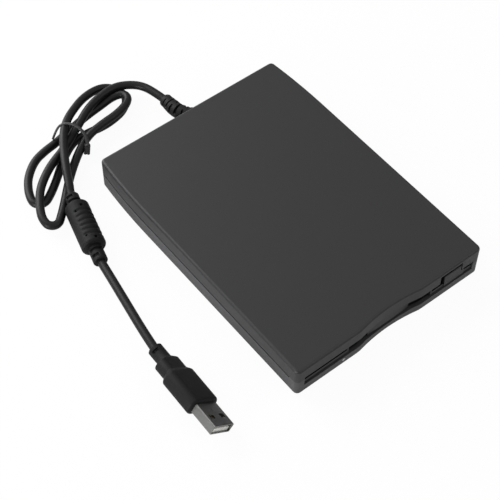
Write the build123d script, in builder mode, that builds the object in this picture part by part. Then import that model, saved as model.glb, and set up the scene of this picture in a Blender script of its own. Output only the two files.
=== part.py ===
from build123d import *
from math import asin, cos, degrees, pi, radians, sin, sqrt, tan
import os

# External floppy disk drive: a flat two-piece case round a 3.5 inch mechanism, with a captive
# cord that is folded into a hank and ends in a bead and a USB plug.
# Millimetres, +Z up, +Y to the rear. z = 0 is the table, x = y = 0 the centre of the case.

# Case
case_width = 103.0
case_length = 142.0
case_height = 16.5
foot_stand = 0.7
parting_height = 8.45
side_wall = 1.8
top_wall = 1.5
floor_wall = 1.4
front_corner = 2.2
rear_corner = 2.2
top_edge_round = 1.3
bottom_edge_round = 0.4
bow_long = 35.0
side_bow_radius = 330.0
seam_groove_depth = 0.8
seam_groove_height = 0.8
seam_groove_front_stop = 5.0
scoop_radius = 83.0
scoop_depth = 1.76
scoop_blend = 16.0
cut_over = 1.0

# Slot in the front: its ends from the inner side walls, its lips from the table
slot_end_margin = 2.3
slot_floor_z = 5.0
slot_roof_z = 10.5
lip_dip_radius = 77.0
lip_dip_depth = 1.1
notch_roof_drop = 1.9
notch_left = 7.4
notch_right = 5.4
notch_play = 0.2

# Eject button, across from its own centre line and back from the front edge
button_from_side = 16.3
button_half_width = 5.0
button_foot_z = 9.9
button_top_play = 1.7
button_cap = 1.2
button_edge_round = 0.35
stem_left = 4.5
stem_right = 3.5
stem_tall = 1.1
stem_over_cap = 0.35
socket_under_stem = 0.3
stem_long = 6.0
socket_inset = 0.5
socket_tall = 0.5
socket_deep = 3.5

# Activity lamp and its light pipe
lamp_from_side = 25.6
pipe_z = 3.2
pipe_radius = 0.75
pipe_long = 17.4
pipe_rest_half = 1.5
pipe_rest_at = 5.0
pipe_rest_thick = 1.0
lamp_size = (2.0, 1.8, 1.2)
lamp_gap = 0.2

# Dust flap and its hinge, back from the front edge
hinge_depth = 2.8
hinge_z = 11.6
hinge_pin_radius = 0.7
hinge_play = 0.05
hinge_pin_long = 1.2
flap_end_play = 0.3
flap_barrel_radius = 0.9
flap_end_wide = 24.1
flap_tab_half_width = 11.5
flap_foot_z = 5.6
flap_wall = 1.0
flap_thin = 0.8
flap_face_depth = 0.6
flap_tab_depth = 1.96
flap_valley_depth = 4.9
flap_shelf_z = 7.8
flap_pad_depth = 0.3
flap_pad_z = (6.2, 9.5)
flap_pad_left = 4.4
flap_pad_right = 7.2
flap_tab_top_z = 10.1
flap_valley_top_z = 9.9
flap_lip_round = 0.4
flap_spring_width = 3.0
flap_spring_play = 0.15
flap_spring_wire = 0.2
flap_spring_leg = 3.0
ear_gap = 0.35
ear_front_depth = 1.7
ear_rear_depth = 4.2
ear_foot_z = 10.7
ear_pin_room = 0.3

# Sheet metal frame
sheet = 0.55
thin_sheet = 0.4
slide_sheet = 0.5
frame_z = 3.0
frame_gap = 1.7
frame_front_depth = 10.5
frame_rear_gap = 12.2
frame_wall = 0.8
shield_gap = 1.3
shield_window = (30.0, 8.0)
shield_window_back = 22.0
pin_radius = 1.0
pin_play = 0.1
pin_z = 8.4
arm_window_half = 8.0
arm_window_front = 19.5
arm_window_rear = 9.8
arm_slot_half = 10.0
switch_pocket = 5.6
chip_pocket = 13.0
pipe_notch_half = 2.0
screw_collar = 0.7

# Cradle that holds the diskette, set in from the slide
disk_rest_z = 5.95
disk_drop = 1.75
cradle_gap = 0.6
cradle_long = 85.0
cradle_flange = 5.7
cradle_top_z = 10.45
cradle_pin_front = 15.5
cradle_pin_rear = 72.5
cradle_notch_right = 3.0
cradle_notch_long = 4.5
pin_end_gap = 0.1

# Eject slide, set in from the frame
slide_z = 10.75
slide_gap = 0.4
slide_front_gap = 3.5
slide_rear_gap = 2.5
slide_foot_z = 4.6
slide_travel = 4.0
slide_tail_wide = 3.0
slide_tail_long = 4.85
slide_tab_left = 1.4
slide_tab_right = 0.35
slide_tab_thick = 0.45
slide_tab_foot_z = 6.7

# Eject springs
spring_inset = 3.3
spring_drop = 1.8
spring_radius = 1.2
spring_bore = 0.8
spring_setback = 9.0
spring_long = 29.0
spring_post_half = 1.0
spring_post = 0.6

# Latch lever, from its pivot
lever_inset = 7.0
lever_behind_cradle = 15.5
lever_tip_reach = (19.0, -21.0)
lever_z = 6.7
lever_thick = 0.6
lever_post_radius = 1.5
lever_base_radius = 2.6
lever_cap_radius = 2.3
lever_cap_thick = 0.45
lever_play = 0.05
lever_arm = 3.0
lever_short_arm = 2.2
lever_hook_left = 0.65
lever_hook_right = 2.5
lever_hook_front = 15.1
lever_hook_rear = 14.0
lever_hook_offset = 0.6

# Spindle motor
spindle_ahead = 21.5
motor_hole_gap = 1.0
rotor_radius = 21.0
rotor_rim = 0.8
rotor_z = 3.6
rotor_sheet = 0.35
rotor_rim_foot_z = 3.15
magnet_inner = 10.0
magnet_thick = 0.25
magnet_play = 0.02
hub_radius = 12.0
hub_thick = 0.35
shaft_radius = 1.0
shaft_z = (2.6, 5.8)
shaft_chamfer = 0.3
bearing_radius = 2.4
bearing_play = 0.02
bearing_top_z = 3.35
coil_count = 9
coil_ring_radius = 13.0
coil_outer = 4.0
coil_inner = 1.5
coil_thick = 0.25
drive_pin_radius = 1.0
drive_pin_offset = 5.5
drive_pin_tall = 0.9

# Head carriage, behind the spindle
head_behind_spindle = 39.5
riser_half = 16.0
riser_rear_gap = 10.8
riser_long = 6.0
riser_z = (4.5, 9.3)
rail_z = 7.0
rod_x = 12.0
rod_radius = 1.25
rod_play = 0.03
screw_x = -10.0
screw_radius = 1.2
screw_play = 0.1
lower_arm_half = 6.0
lower_arm_tip = 3.6
lower_arm_z = (3.3, 4.1)
arm_half = 5.5
arm_tip = 2.6
arm_tip_ahead = 2.4
lower_arm_taper = 6.0
upper_arm_taper_share = 0.4
arm_slot_share = 0.386
arm_slot_wide = 4.0
head_half = 1.5
head_seat = 2.2
head_thick = 0.5
lower_head_top_z = 5.85
upper_arm_z = (9.95, 11.0)
arm_axis_z = 10.6
arm_pin_radius = 0.6
arm_pin_play = 0.05
arm_lug_half = 2.5
arm_lug_long = 1.2
arm_lug_tall = 1.1
arm_ear = (2.8, 4.2)
arm_ear_long = 1.5
arm_fork_gap = 0.5
block_thick = 2.0
block_from_head = 6.6
block_rear_gap = 1.3
block_rear_thick = 3.0
block_half = 2.0
block_top_z = 8.8
stepper_radius = 3.4
stepper_rear_gap = 0.8
stepper_long = 8.4
stepper_bore = 2.0
stepper_chamfer = 0.4
bracket_half = 4.3
bracket_ear_half = 3.0
bracket_ear_over = 2.0
bracket_sheet = 0.6
bracket_over = 0.4
bracket_strip = (-14.0, -8.4)
journal_radius = 0.8
journal_in_motor = 1.5
thread_gap = 0.3

# Boards
board_thick = 0.5
board_gap = 2.2
main_board_inset = 11.0
main_board_rear_gap = 1.8
motor_board_inset = 9.0
motor_board_set_back = 10.5
motor_board_behind = 22.3
lamp_tongue_half = 3.0
cable_tongue_side = 2.0
usb_board_left = 13.5
usb_board_right = 19.8
usb_board_gap = 3.8
usb_board_wide = 6.6
usb_board_z = (3.2, 4.2)
usb_boss_inset = 3.0
usb_boss_radius = 2.0
chip_size = 10.0
chip_tall = 0.9
chip_chamfer = 0.2
chip_inset = 10.0
right_chip_back = 19.0
left_chip_back = 27.0
usb_chip = (9.0, 4.6, 1.1)
usb_chip_inset = 8.5
ribbon_inset = 16.0
ribbon_wide = 14.0
ribbon_thick = 0.25
ribbon_gap = 0.4
ribbon_landing = 1.6
ribbon_top_z = 7.0
header_wide = 10.0
header_long = 4.0
header_gap = 5.5
header_top_z = 11.6

# Write-protect and density switches
switch_inset = 12.0
switch_setback = 16.5
switch_body = 5.0
switch_top_z = 4.0
plunger_radius = 0.8
plunger_z = (3.8, 4.9)
plunger_well_z = 3.05
plunger_play = 0.1
plunger_chamfer = 0.2

# Screws and feet: in from the sides, and back from the front or ahead of the rear edge
chassis_screw_front = (18.5, 15.0)
chassis_screw_rear = (9.5, 23.5)
case_screw = (7.5, 7.0)
foot_front = (8.5, 10.0)
foot_rear = (9.5, 15.5)
screw_shank = 1.3
screw_head = 2.3
screw_clear = 0.15
recess_radius = 2.6
boss_radius = 4.0
chassis_head_z = (1.15, 2.0)
chassis_shank_top_z = 4.0
case_boss_radius = 3.6
case_post_radius = 3.0
case_head_z = (2.2, 4.0)
case_shank_drop = 2.7
drive_recess = 0.9
drive_depth = 0.5
foot_radius = 4.8
foot_pocket = 5.0
foot_recess = 0.4

# Cord and what is on it. Routes are measured from the middle of the rear wall.
cord_diameter = 4.0
relief_x = 2.2
relief_neck = 3.2
relief_flange = 5.0
relief_flange_thick = 1.5
relief_core = 2.6
relief_base = 4.25
relief_base_long = 3.0
relief_ring = 3.9
relief_ring_wide = 1.5
relief_ring_taper = 0.12
relief_tip = 3.2
relief_tip_long = 2.0
relief_rings_at = (0.32, 0.47, 0.62, 0.77)
relief_route = ((2.2, -1.8, 9.4), (2.2, 4.0, 9.4), (-0.33, 13.43, 7.08), (-0.9, 18.4, 7.0))
cord_lead_route = (
    (-0.9, 18.4, 7.0),
    (-1.6, 24.5, 6.9),
    (-4.1, 32.1, 6.6),
    (-8.8, 37.5, 6.4),
    (-13.6, 40.8, 6.4),
)
hank_height = 9.0
hank_round = 2.0
hank_outline = (
    (-8.1, 41.0),
    (-8.8, 33.0),
    (-14.0, 26.2),
    (-24.0, 23.8),
    (-38.5, 22.8),
    (-46.5, 18.4),
    (-61.0, 8.4),
    (-70.6, 3.6),
    (-75.2, -2.0),
    (-77.4, -8.6),
    (-80.8, -11.4),
    (-84.2, -8.4),
    (-84.6, 0.0),
    (-83.0, 12.0),
    (-77.2, 24.0),
    (-69.8, 31.4),
    (-60.9, 34.8),
    (-50.0, 36.6),
    (-40.6, 42.0),
    (-30.4, 47.0),
    (-19.6, 48.4),
    (-11.6, 46.6),
)
tie_route = (
    (-54.4, 33.6, 4.0),
    (-51.2, 34.6, 8.2),
    (-48.2, 33.2, 11.4),
    (-45.4, 29.4, 12.2),
    (-43.4, 25.4, 10.9),
    (-43.2, 21.6, 8.6),
    (-44.5, 19.0, 6.0),
)
tie_diameter = 1.2
tie_knot = (-45.0, 18.6)
tie_knot_z = (2.2, 7.4)
tie_knot_radius = 1.4
to_bead_route = ((-61.3, 11.9, 7.6), (-65.2, 3.6, 6.7), (-67.13, -0.4, 5.65))
bead_at = (-68.6, -6.1, 5.65)
bead_heading = (-0.2599, -0.9656, 0.0)
bead_radius = 5.65
bead_long = 26.6
bead_end_round = 1.6
bead_relief_radius = 3.3
bead_relief_groove = 2.5
bead_upper_relief = 5.9
bead_lower_relief = 8.2
bead_relief_steps = 5
bead_middle = 14.9
bead_groove_count = 6
bead_groove_pitch = 2.5
bead_groove_wide = 0.9
bead_groove_depth = 0.35
bead_groove_from = -30.0
bead_groove_arc = 146.0
bead_pin_hole = 0.5
bead_pin_depth = 1.2
bead_pins = ((-9.6, 74.0), (-7.2, 110.0), (7.4, 110.0), (9.6, 76.0))
to_plug_route = (
    (-77.64, -39.7, 5.65),
    (-79.0, -48.4, 5.85),
    (-81.9, -65.0, 6.4),
    (-84.9, -82.0, 7.0),
    (-86.07, -91.13, 7.2),
)
plug_heading = (-0.0258, -0.99967, 0.0)
plug_roll = 38.4
neck_long = 7.2
neck_radius = 3.3
neck_groove = 2.4
neck_steps = 5
neck_flat = 0.6
neck_corner = 2.6
collar_size = (12.4, 7.0, 2.3)
collar_shoulder = 1.7
collar_long = 5.6
grip_size = (16.0, 8.2, 2.5)
grip_shoulder = 2.6
grip_long = 17.4
shell_size = (12.0, 4.5)
shell_wall = 0.32
shell_corner = 0.5
shell_long = 12.8
shell_buried = 4.0
latch_hole = (2.5, 2.0)
latch_hole_x = 3.0
latch_hole_back = 5.2
dimple = (1.2, 1.6)
dimple_back = 8.6
tongue_thick = 1.84
tongue_back = 0.9
contact_wide = 1.0
contact_thick = 0.12
contact_pitch = (-3.5, -1.0, 1.0, 3.5)
contact_inset = 1.2
contact_long = 8.5

# Derived: heights
case_z = foot_stand
case_top_z = case_z + case_height
parting_z = case_z + parting_height
roof_z = case_top_z - top_wall
floor_z = case_z + floor_wall
frame_floor_z = frame_z + sheet
frame_top_z = roof_z - shield_gap
board_z = frame_z - board_thick
cradle_z = disk_rest_z - thin_sheet
spring_z = frame_top_z - spring_drop
notch_roof_z = case_top_z - notch_roof_drop
button_top_z = notch_roof_z - button_top_play
stem_top_z = button_top_z + stem_over_cap
socket_top_z = stem_top_z - socket_under_stem
socket_z = (socket_top_z - socket_tall, socket_top_z)
case_shank_top_z = roof_z - case_shank_drop

# Derived: across, from the side walls inwards
half_width = case_width / 2
inner_half = half_width - side_wall
slot_half_width = inner_half - slot_end_margin
flap_half_width = slot_half_width - flap_end_play
flap_end_from = flap_half_width - flap_end_wide
hinge_pin_reach = flap_half_width + hinge_pin_long
frame_half_width = inner_half - frame_gap
slide_outer = frame_half_width - frame_wall - slide_gap
cradle_outer = slide_outer - slide_sheet - cradle_gap
spring_x = slide_outer - spring_inset
lever_x = lever_inset - frame_half_width
lamp_x = lamp_from_side - half_width
button_x = half_width - button_from_side
stem_x = (button_x - stem_left, button_x + stem_right)
socket_x = (stem_x[0] + socket_inset, stem_x[1] - socket_inset)
notch_x = (button_x - notch_left, button_x + notch_right)
flap_pad_x = (button_x - flap_pad_left, button_x + flap_pad_right)
motor_board_half = frame_half_width - motor_board_inset
main_board_half = frame_half_width - main_board_inset
switch_x = frame_half_width - switch_inset
usb_board_x = (usb_board_left - half_width, relief_x + usb_board_right)
ribbon_x = (usb_board_x[0] + ribbon_inset, usb_board_x[0] + ribbon_inset + ribbon_wide)

# Derived: along, from the front and rear edges
front_y = -case_length / 2
rear_y = case_length / 2
wall_inner_y = rear_y - side_wall
stem_rear = front_y + stem_long
pipe_rear = front_y + pipe_long
hinge_y = front_y + hinge_depth
flap_face_y = front_y + flap_face_depth
flap_tab_front_y = front_y + flap_tab_depth
flap_valley_y = front_y + flap_valley_depth
ear_y = (front_y + ear_front_depth, front_y + ear_rear_depth)
frame_y = (front_y + frame_front_depth, rear_y - frame_rear_gap)
cradle_y = (frame_y[0], frame_y[0] + cradle_long)
pin_stations = (cradle_y[0] + cradle_pin_front, cradle_y[0] + cradle_pin_rear)
slide_y = (frame_y[0] + slide_front_gap, cradle_y[1] - slide_rear_gap)
slide_tail_rear = slide_y[1] + slide_tail_long
spring_y = (frame_y[0] + spring_setback, frame_y[0] + spring_setback + spring_long)
spindle_y = -spindle_ahead
head_y = spindle_y + head_behind_spindle
riser_y = (frame_y[1] - riser_rear_gap - riser_long, frame_y[1] - riser_rear_gap)
arm_axis_y = sum(riser_y) / 2
arm_window_y = (spindle_y + arm_window_front, frame_y[1] - arm_window_rear)
block_front_y = (head_y + block_from_head, head_y + block_from_head + block_thick)
block_rear_y = (frame_y[1] - block_rear_gap - block_rear_thick, frame_y[1] - block_rear_gap)
stepper_y = (frame_y[1] - stepper_rear_gap - stepper_long, frame_y[1] - stepper_rear_gap)
lever_pivot = (lever_x, cradle_y[1] + lever_behind_cradle)
lever_tip = (lever_pivot[0] + lever_tip_reach[0], lever_pivot[1] + lever_tip_reach[1])
motor_board_y = (frame_y[0] + motor_board_set_back, spindle_y + motor_board_behind)
main_board_y = (motor_board_y[1] + board_gap, frame_y[1] - main_board_rear_gap)
usb_board_y = (rear_y - usb_board_gap - usb_board_wide, rear_y - usb_board_gap)
ribbon_y = (frame_y[1] + ribbon_gap, usb_board_y[0] + ribbon_landing)
header_y = (rear_y - header_gap - header_long, rear_y - header_gap)

# Derived: places of what repeats
sides = (-1, 1)
tail_slot = 2 * (pin_radius + pin_play)
switch_y = frame_y[0] + switch_setback
switch_at = ((-switch_x, switch_y), (switch_x, switch_y))
chip_x = main_board_half - chip_inset
right_chip_at = (chip_x, main_board_y[0] + right_chip_back)
left_chip_at = (-chip_x, main_board_y[0] + left_chip_back)
usb_chip_at = (usb_board_x[0] + usb_chip_inset, sum(usb_board_y) / 2)
relief_hole = (relief_x, parting_z)


def mirrored(from_side, y):
    """The same point near both sides of the case."""
    return ((from_side - half_width, y), (half_width - from_side, y))


front_chassis_screws = mirrored(chassis_screw_front[0], front_y + chassis_screw_front[1])
rear_chassis_screws = mirrored(chassis_screw_rear[0], rear_y - chassis_screw_rear[1])
chassis_screws_at = front_chassis_screws + rear_chassis_screws
case_screws_at = mirrored(case_screw[0], rear_y - case_screw[1])
front_feet = mirrored(foot_front[0], front_y + foot_front[1])
feet_at = front_feet + mirrored(foot_rear[0], rear_y - foot_rear[1])


def block(x_span, y_span, z_span, mode=Mode.ADD):
    """Add or cut a box given by its two limits along each axis."""
    middle = [sum(span) / 2 for span in (x_span, y_span, z_span)]
    size = [abs(span[1] - span[0]) for span in (x_span, y_span, z_span)]
    with Locations(Location(middle)):
        Box(*size, mode=mode)


def post(at, radius, z_span, mode=Mode.ADD):
    """Add or cut an upright cylinder at a point of the plan."""
    with Locations(Location((at[0], at[1], sum(z_span) / 2))):
        Cylinder(radius, z_span[1] - z_span[0], mode=mode)


def shaft_along_y(x, z, radius, y_span, mode=Mode.ADD):
    """Add or cut a cylinder that lies along Y."""
    with Locations(Location((x, sum(y_span) / 2, z), (90, 0, 0))):
        Cylinder(radius, y_span[1] - y_span[0], mode=mode)


def shaft_along_x(y, z, radius, x_span, mode=Mode.ADD):
    """Add or cut a cylinder that lies along X."""
    with Locations(Location((sum(x_span) / 2, y, z), (0, 90, 0))):
        Cylinder(radius, abs(x_span[1] - x_span[0]), mode=mode)


def both(side, span):
    """A span on the right half, or its mirror on the left half."""
    return (side * span[0], side * span[1])


def about(middle, half):
    """The span that reaches half to either side of middle."""
    return (middle - half, middle + half)


def from_rear(route):
    """Points given from the middle of the rear wall, in the model's own frame."""
    return [(x, rear_y + y, z) for x, y, z in route]


def case_outline(inset):
    """Draw the case's plan outline, drawn in by inset, in the open BuildLine.

    Both long sides run straight, then bow in over the last third, and the front edge has
    a shallow finger scoop blended in at both ends.
    """
    bow_centre = side_bow_radius - half_width
    reach = side_bow_radius - rear_corner
    rear_centre_y = rear_y - rear_corner
    bow_from = rear_y - bow_long
    bow = degrees(asin((rear_centre_y - bow_from) / reach))
    rear_centre_x = reach * cos(radians(bow)) - bow_centre
    blend_y = front_y + scoop_blend
    scoop_y = front_y + scoop_depth - scoop_radius
    span = scoop_radius + scoop_blend
    blend_x = sqrt(span**2 - (blend_y - scoop_y) ** 2)
    turn = degrees(asin(blend_x / span))
    corner_x = half_width - front_corner
    corner_y = front_y + front_corner
    left_corner = CenterArc((-corner_x, corner_y), front_corner - inset, 180, 90)
    left_blend = CenterArc((-blend_x, blend_y), scoop_blend - inset, 270, turn)
    CenterArc((0, scoop_y), scoop_radius + inset, 90 + turn, -2 * turn)
    right_blend = CenterArc((blend_x, blend_y), scoop_blend - inset, 270 - turn, turn)
    right_corner = CenterArc((corner_x, corner_y), front_corner - inset, 270, 90)
    right_bow = CenterArc((-bow_centre, bow_from), side_bow_radius - inset, 0, bow)
    right_rear = CenterArc((rear_centre_x, rear_centre_y), rear_corner - inset, bow, 90 - bow)
    left_rear = CenterArc((-rear_centre_x, rear_centre_y), rear_corner - inset, 90, 90 - bow)
    left_bow = CenterArc((bow_centre, bow_from), side_bow_radius - inset, 180 - bow, bow)
    Line(left_corner @ 1, left_blend @ 0)
    Line(right_blend @ 1, right_corner @ 0)
    Line(right_corner @ 1, right_bow @ 0)
    Line(right_rear @ 1, left_rear @ 0)
    Line(left_bow @ 1, left_corner @ 0)


def tube_radii(route):
    """Bend radius at each inner point: nearly half of the shorter run is spent on the bend."""
    points = [Vector(*p) for p in route]
    radii = []
    for before, here, after in zip(points, points[1:], points[2:]):
        turn = radians((here - before).get_angle(after - here))
        shorter = min((here - before).length, (after - here).length)
        radii.append(0.45 * shorter / tan(turn / 2))
    return radii


# Top cover: lid with its front wall scooped, the slot's upper lip and the button notch.
with BuildPart() as top_cover:
    with BuildSketch(Plane.XY.offset(parting_z)):
        with BuildLine():
            case_outline(0)
        make_face()
    extrude(amount=case_top_z - parting_z)
    fillet(top_cover.faces().sort_by(Axis.Z)[-1].edges(), radius=top_edge_round)
    with BuildSketch(Plane.XY.offset(parting_z)):
        with BuildLine():
            case_outline(side_wall)
        make_face()
    extrude(amount=roof_z - parting_z, mode=Mode.SUBTRACT)
    through_front = (front_y - cut_over, front_y + side_wall + notch_play)
    block(about(0, slot_half_width), (front_y - cut_over, ear_y[1] - notch_play),
          (parting_z - cut_over, slot_roof_z), Mode.SUBTRACT)
    block(notch_x, through_front, (parting_z - cut_over, notch_roof_z), Mode.SUBTRACT)
    for side in sides:
        ear_inner = flap_half_width + ear_gap
        block(both(side, (ear_inner, inner_half)), ear_y, (ear_foot_z, roof_z))
        shaft_along_x(hinge_y, hinge_z, hinge_pin_radius + hinge_play,
                      both(side, (ear_inner, hinge_pin_reach + ear_pin_room)), Mode.SUBTRACT)
    for at in case_screws_at:
        post(at, case_post_radius, (parting_z, roof_z))
        post(at, screw_shank, (parting_z, case_shank_top_z), Mode.SUBTRACT)
    shaft_along_y(relief_hole[0], relief_hole[1], relief_neck,
                  (wall_inner_y - cut_over, rear_y + cut_over), Mode.SUBTRACT)

# Bottom cover: tray with the slot's lower lip, screw bosses, foot pockets and the seam groove.
with BuildPart() as bottom_cover:
    with BuildSketch(Plane.XY.offset(case_z)):
        with BuildLine():
            case_outline(0)
        make_face()
    extrude(amount=parting_z - case_z)
    fillet(bottom_cover.faces().sort_by(Axis.Z)[0].edges(), radius=bottom_edge_round)
    with BuildSketch(Plane.XY.offset(floor_z)):
        with BuildLine():
            case_outline(side_wall)
        make_face()
    extrude(amount=parting_z - floor_z, mode=Mode.SUBTRACT)
    with BuildSketch(Plane.XY.offset(parting_z)):
        with BuildLine():
            case_outline(0)
        make_face()
        with BuildSketch(Plane.XY.offset(parting_z), mode=Mode.SUBTRACT):
            with BuildLine():
                case_outline(seam_groove_depth)
            make_face()
        with Locations((0, front_y)):
            Rectangle(2 * case_width, 2 * seam_groove_front_stop, mode=Mode.SUBTRACT)
    extrude(amount=-seam_groove_height, mode=Mode.SUBTRACT)
    block(about(0, slot_half_width), (front_y - cut_over, ear_y[1] - notch_play),
          (slot_floor_z, parting_z + cut_over), Mode.SUBTRACT)
    shaft_along_y(0, slot_floor_z - lip_dip_depth + lip_dip_radius, lip_dip_radius,
                  (front_y - cut_over, ear_y[1] - notch_play), Mode.SUBTRACT)
    for at in chassis_screws_at:
        post(at, boss_radius, (floor_z, frame_z))
        post(at, recess_radius, (case_z, chassis_head_z[1]), Mode.SUBTRACT)
        post(at, screw_shank + screw_clear, (case_z, frame_z), Mode.SUBTRACT)
    for at in case_screws_at:
        post(at, case_boss_radius, (floor_z, parting_z))
        post(at, recess_radius, (case_z, case_head_z[1]), Mode.SUBTRACT)
        post(at, screw_shank + screw_clear, (case_z, parting_z), Mode.SUBTRACT)
    for at in feet_at:
        post(at, foot_pocket, (case_z, case_z + foot_recess), Mode.SUBTRACT)
    for x in (usb_board_x[0] + usb_boss_inset, usb_board_x[1] - usb_boss_inset):
        post((x, sum(usb_board_y) / 2), usb_boss_radius, (floor_z, usb_board_z[0]))
    pipe_rest_y = front_y + pipe_rest_at
    block(about(lamp_x, pipe_rest_half), (pipe_rest_y, pipe_rest_y + pipe_rest_thick),
          (floor_z, pipe_z))
    shaft_along_y(lamp_x, pipe_z, pipe_radius, (front_y - cut_over, pipe_rear), Mode.SUBTRACT)
    shaft_along_y(relief_hole[0], relief_hole[1], relief_neck,
                  (wall_inner_y - cut_over, rear_y + cut_over), Mode.SUBTRACT)

# Light pipe, moulded rod flush with the front lip
with BuildPart() as light_pipe:
    shaft_along_y(lamp_x, pipe_z, pipe_radius, (front_y, pipe_rear))

# Case screws, driven from below into the top cover's posts
with BuildPart() as case_screws:
    for at in case_screws_at:
        post(at, screw_head, case_head_z)
        post(at, screw_shank, (case_head_z[1], case_shank_top_z))
        post(at, drive_recess, (case_head_z[0], case_head_z[0] + drive_depth), Mode.SUBTRACT)

# Rubber feet in the floor's pockets
with BuildPart() as rubber_feet:
    for at in feet_at:
        post(at, foot_radius, (0, case_z + foot_recess))

# Chassis frame: folded tray with the motor hole, arm window and the cradle's guide slots
with BuildPart() as chassis_frame:
    with BuildSketch(Plane.XY.offset(frame_z)):
        with Locations((0, sum(frame_y) / 2)):
            Rectangle(2 * frame_half_width, frame_y[1] - frame_y[0])
        with Locations((0, spindle_y)):
            Circle(rotor_radius + motor_hole_gap, mode=Mode.SUBTRACT)
        with Locations((0, sum(arm_window_y) / 2)):
            Rectangle(2 * arm_window_half, arm_window_y[1] - arm_window_y[0], mode=Mode.SUBTRACT)
        with Locations(*switch_at):
            Rectangle(switch_pocket, switch_pocket, mode=Mode.SUBTRACT)
        with Locations(left_chip_at, right_chip_at):
            Rectangle(chip_pocket, chip_pocket, mode=Mode.SUBTRACT)
        with Locations(*chassis_screws_at):
            Circle(screw_shank, mode=Mode.SUBTRACT)
        notch_rear = motor_board_y[0] + cut_over
        with Locations((lamp_x, (frame_y[0] + notch_rear) / 2)):
            Rectangle(2 * pipe_notch_half, notch_rear - frame_y[0], mode=Mode.SUBTRACT)
    extrude(amount=sheet)
    for side in sides:
        block(both(side, (frame_half_width - frame_wall, frame_half_width)), frame_y,
              (frame_z, frame_top_z))
        hook_x = (spring_x - spring_post_half, frame_half_width)
        block(both(side, hook_x), (spring_y[0] - spring_post, spring_y[0]),
              about(spring_z, spring_post_half))
    block((-frame_half_width, frame_half_width), (frame_y[1] - frame_wall, frame_y[1]),
          (frame_z, frame_top_z))
    for y in pin_stations:
        low = pin_z - disk_drop - pin_radius - pin_play
        for side in sides:
            wall = about(side * frame_half_width, 2 * frame_wall)
            block(wall, (y - tail_slot / 2, y + tail_slot / 2), (low, frame_top_z), Mode.SUBTRACT)
    for at in chassis_screws_at:
        post(at, screw_shank + screw_collar, (frame_z, chassis_shank_top_z))
        post(at, screw_shank, (frame_z, chassis_shank_top_z), Mode.SUBTRACT)

# Shield plate over the frame
with BuildPart() as shield_plate:
    with BuildSketch(Plane.XY.offset(frame_top_z)):
        with Locations((0, sum(frame_y) / 2)):
            Rectangle(2 * frame_half_width, frame_y[1] - frame_y[0])
        with Locations((0, frame_y[1] - shield_window_back)):
            SlotOverall(*shield_window, mode=Mode.SUBTRACT)
    extrude(amount=thin_sheet)

# Chassis screws, up through the floor's bosses into the frame
with BuildPart() as chassis_screws:
    for at in chassis_screws_at:
        post(at, screw_head, chassis_head_z)
        post(at, screw_shank, (chassis_head_z[1], chassis_shank_top_z))
        post(at, drive_recess, (chassis_head_z[0], chassis_head_z[0] + drive_depth),
             Mode.SUBTRACT)

# Dust flap: low ends with a pad under the button, set-back valleys and a centre tab, joined
# by ribs and hung on two pins
with BuildPart() as dust_flap:
    for side in sides:
        web_outer = flap_half_width - (flap_spring_width if side < 0 else 0)
        shaft_along_x(hinge_y, hinge_z, flap_barrel_radius, both(side, (flap_end_from, web_outer)))
        shaft_along_x(hinge_y, hinge_z, hinge_pin_radius, both(side, (web_outer, hinge_pin_reach)))
        web_y = about(hinge_y, flap_wall / 2)
        face_y = (flap_face_y, flap_face_y + flap_wall)
        end_span = (flap_end_from, flap_half_width)
        block(both(side, (flap_end_from, web_outer)), web_y, (flap_shelf_z - flap_thin, hinge_z))
        block(both(side, end_span), (flap_face_y, web_y[1]), (flap_shelf_z - flap_thin, flap_shelf_z))
        block(both(side, end_span), face_y, (flap_foot_z, flap_shelf_z))
        valley = (flap_tab_half_width, flap_end_from)
        block(both(side, valley), (flap_valley_y - flap_thin, flap_valley_y),
              (flap_foot_z, flap_valley_top_z))
        block(both(side, (flap_end_from, flap_end_from + flap_thin)),
              (flap_face_y, flap_valley_y), (flap_foot_z, flap_valley_top_z))
        block(both(side, (flap_tab_half_width - flap_thin, flap_tab_half_width)),
              (flap_tab_front_y, flap_valley_y), (flap_foot_z, flap_valley_top_z))
    block(about(0, flap_tab_half_width), (flap_tab_front_y, flap_tab_front_y + flap_wall),
          (flap_foot_z, flap_tab_top_z))
    block(flap_pad_x, (front_y + flap_pad_depth, face_y[1]), flap_pad_z)
    foot_edges = dust_flap.edges().filter_by(Axis.X).group_by(Axis.Z)[0]
    fillet(foot_edges.group_by(Axis.Y)[0], radius=flap_lip_round)

# Flap spring: torsion coil round the left pin, one leg on the front wall, one on the web
with BuildPart() as flap_spring:
    web_end_x = flap_spring_width - flap_half_width
    coil_x = (flap_spring_play - flap_half_width, web_end_x - flap_spring_play)
    wire = flap_spring_wire
    shaft_along_x(hinge_y, hinge_z, flap_barrel_radius + hinge_play, coil_x)
    shaft_along_x(hinge_y, hinge_z, hinge_pin_radius + hinge_play, coil_x, Mode.SUBTRACT)
    front_inner_y = front_y + side_wall
    block((coil_x[0], coil_x[0] + wire), (front_inner_y, front_inner_y + wire),
          (hinge_z, hinge_z + flap_spring_leg))
    web_rear_y = hinge_y + flap_wall / 2
    leg_z = flap_shelf_z + wire
    block((coil_x[1] - wire, coil_x[1]), (web_rear_y, web_rear_y + wire),
          (leg_z, hinge_z - hinge_pin_radius - hinge_play))
    block((coil_x[1] - wire, web_end_x + flap_spring_width / 5), (web_rear_y, web_rear_y + wire),
          (leg_z, leg_z + wire))

# Eject button: flush cap on a stem that takes the slide's tab
with BuildPart() as eject_button:
    block(about(button_x, button_half_width), (front_y, front_y + button_cap),
          (button_foot_z, button_top_z))
    fillet(eject_button.faces().sort_by(Axis.Y)[0].edges(), radius=button_edge_round)
    block(stem_x, (front_y + button_cap, stem_rear), (stem_top_z - stem_tall, stem_top_z))
    block(socket_x, (stem_rear - socket_deep, stem_rear), socket_z, Mode.SUBTRACT)

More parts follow.
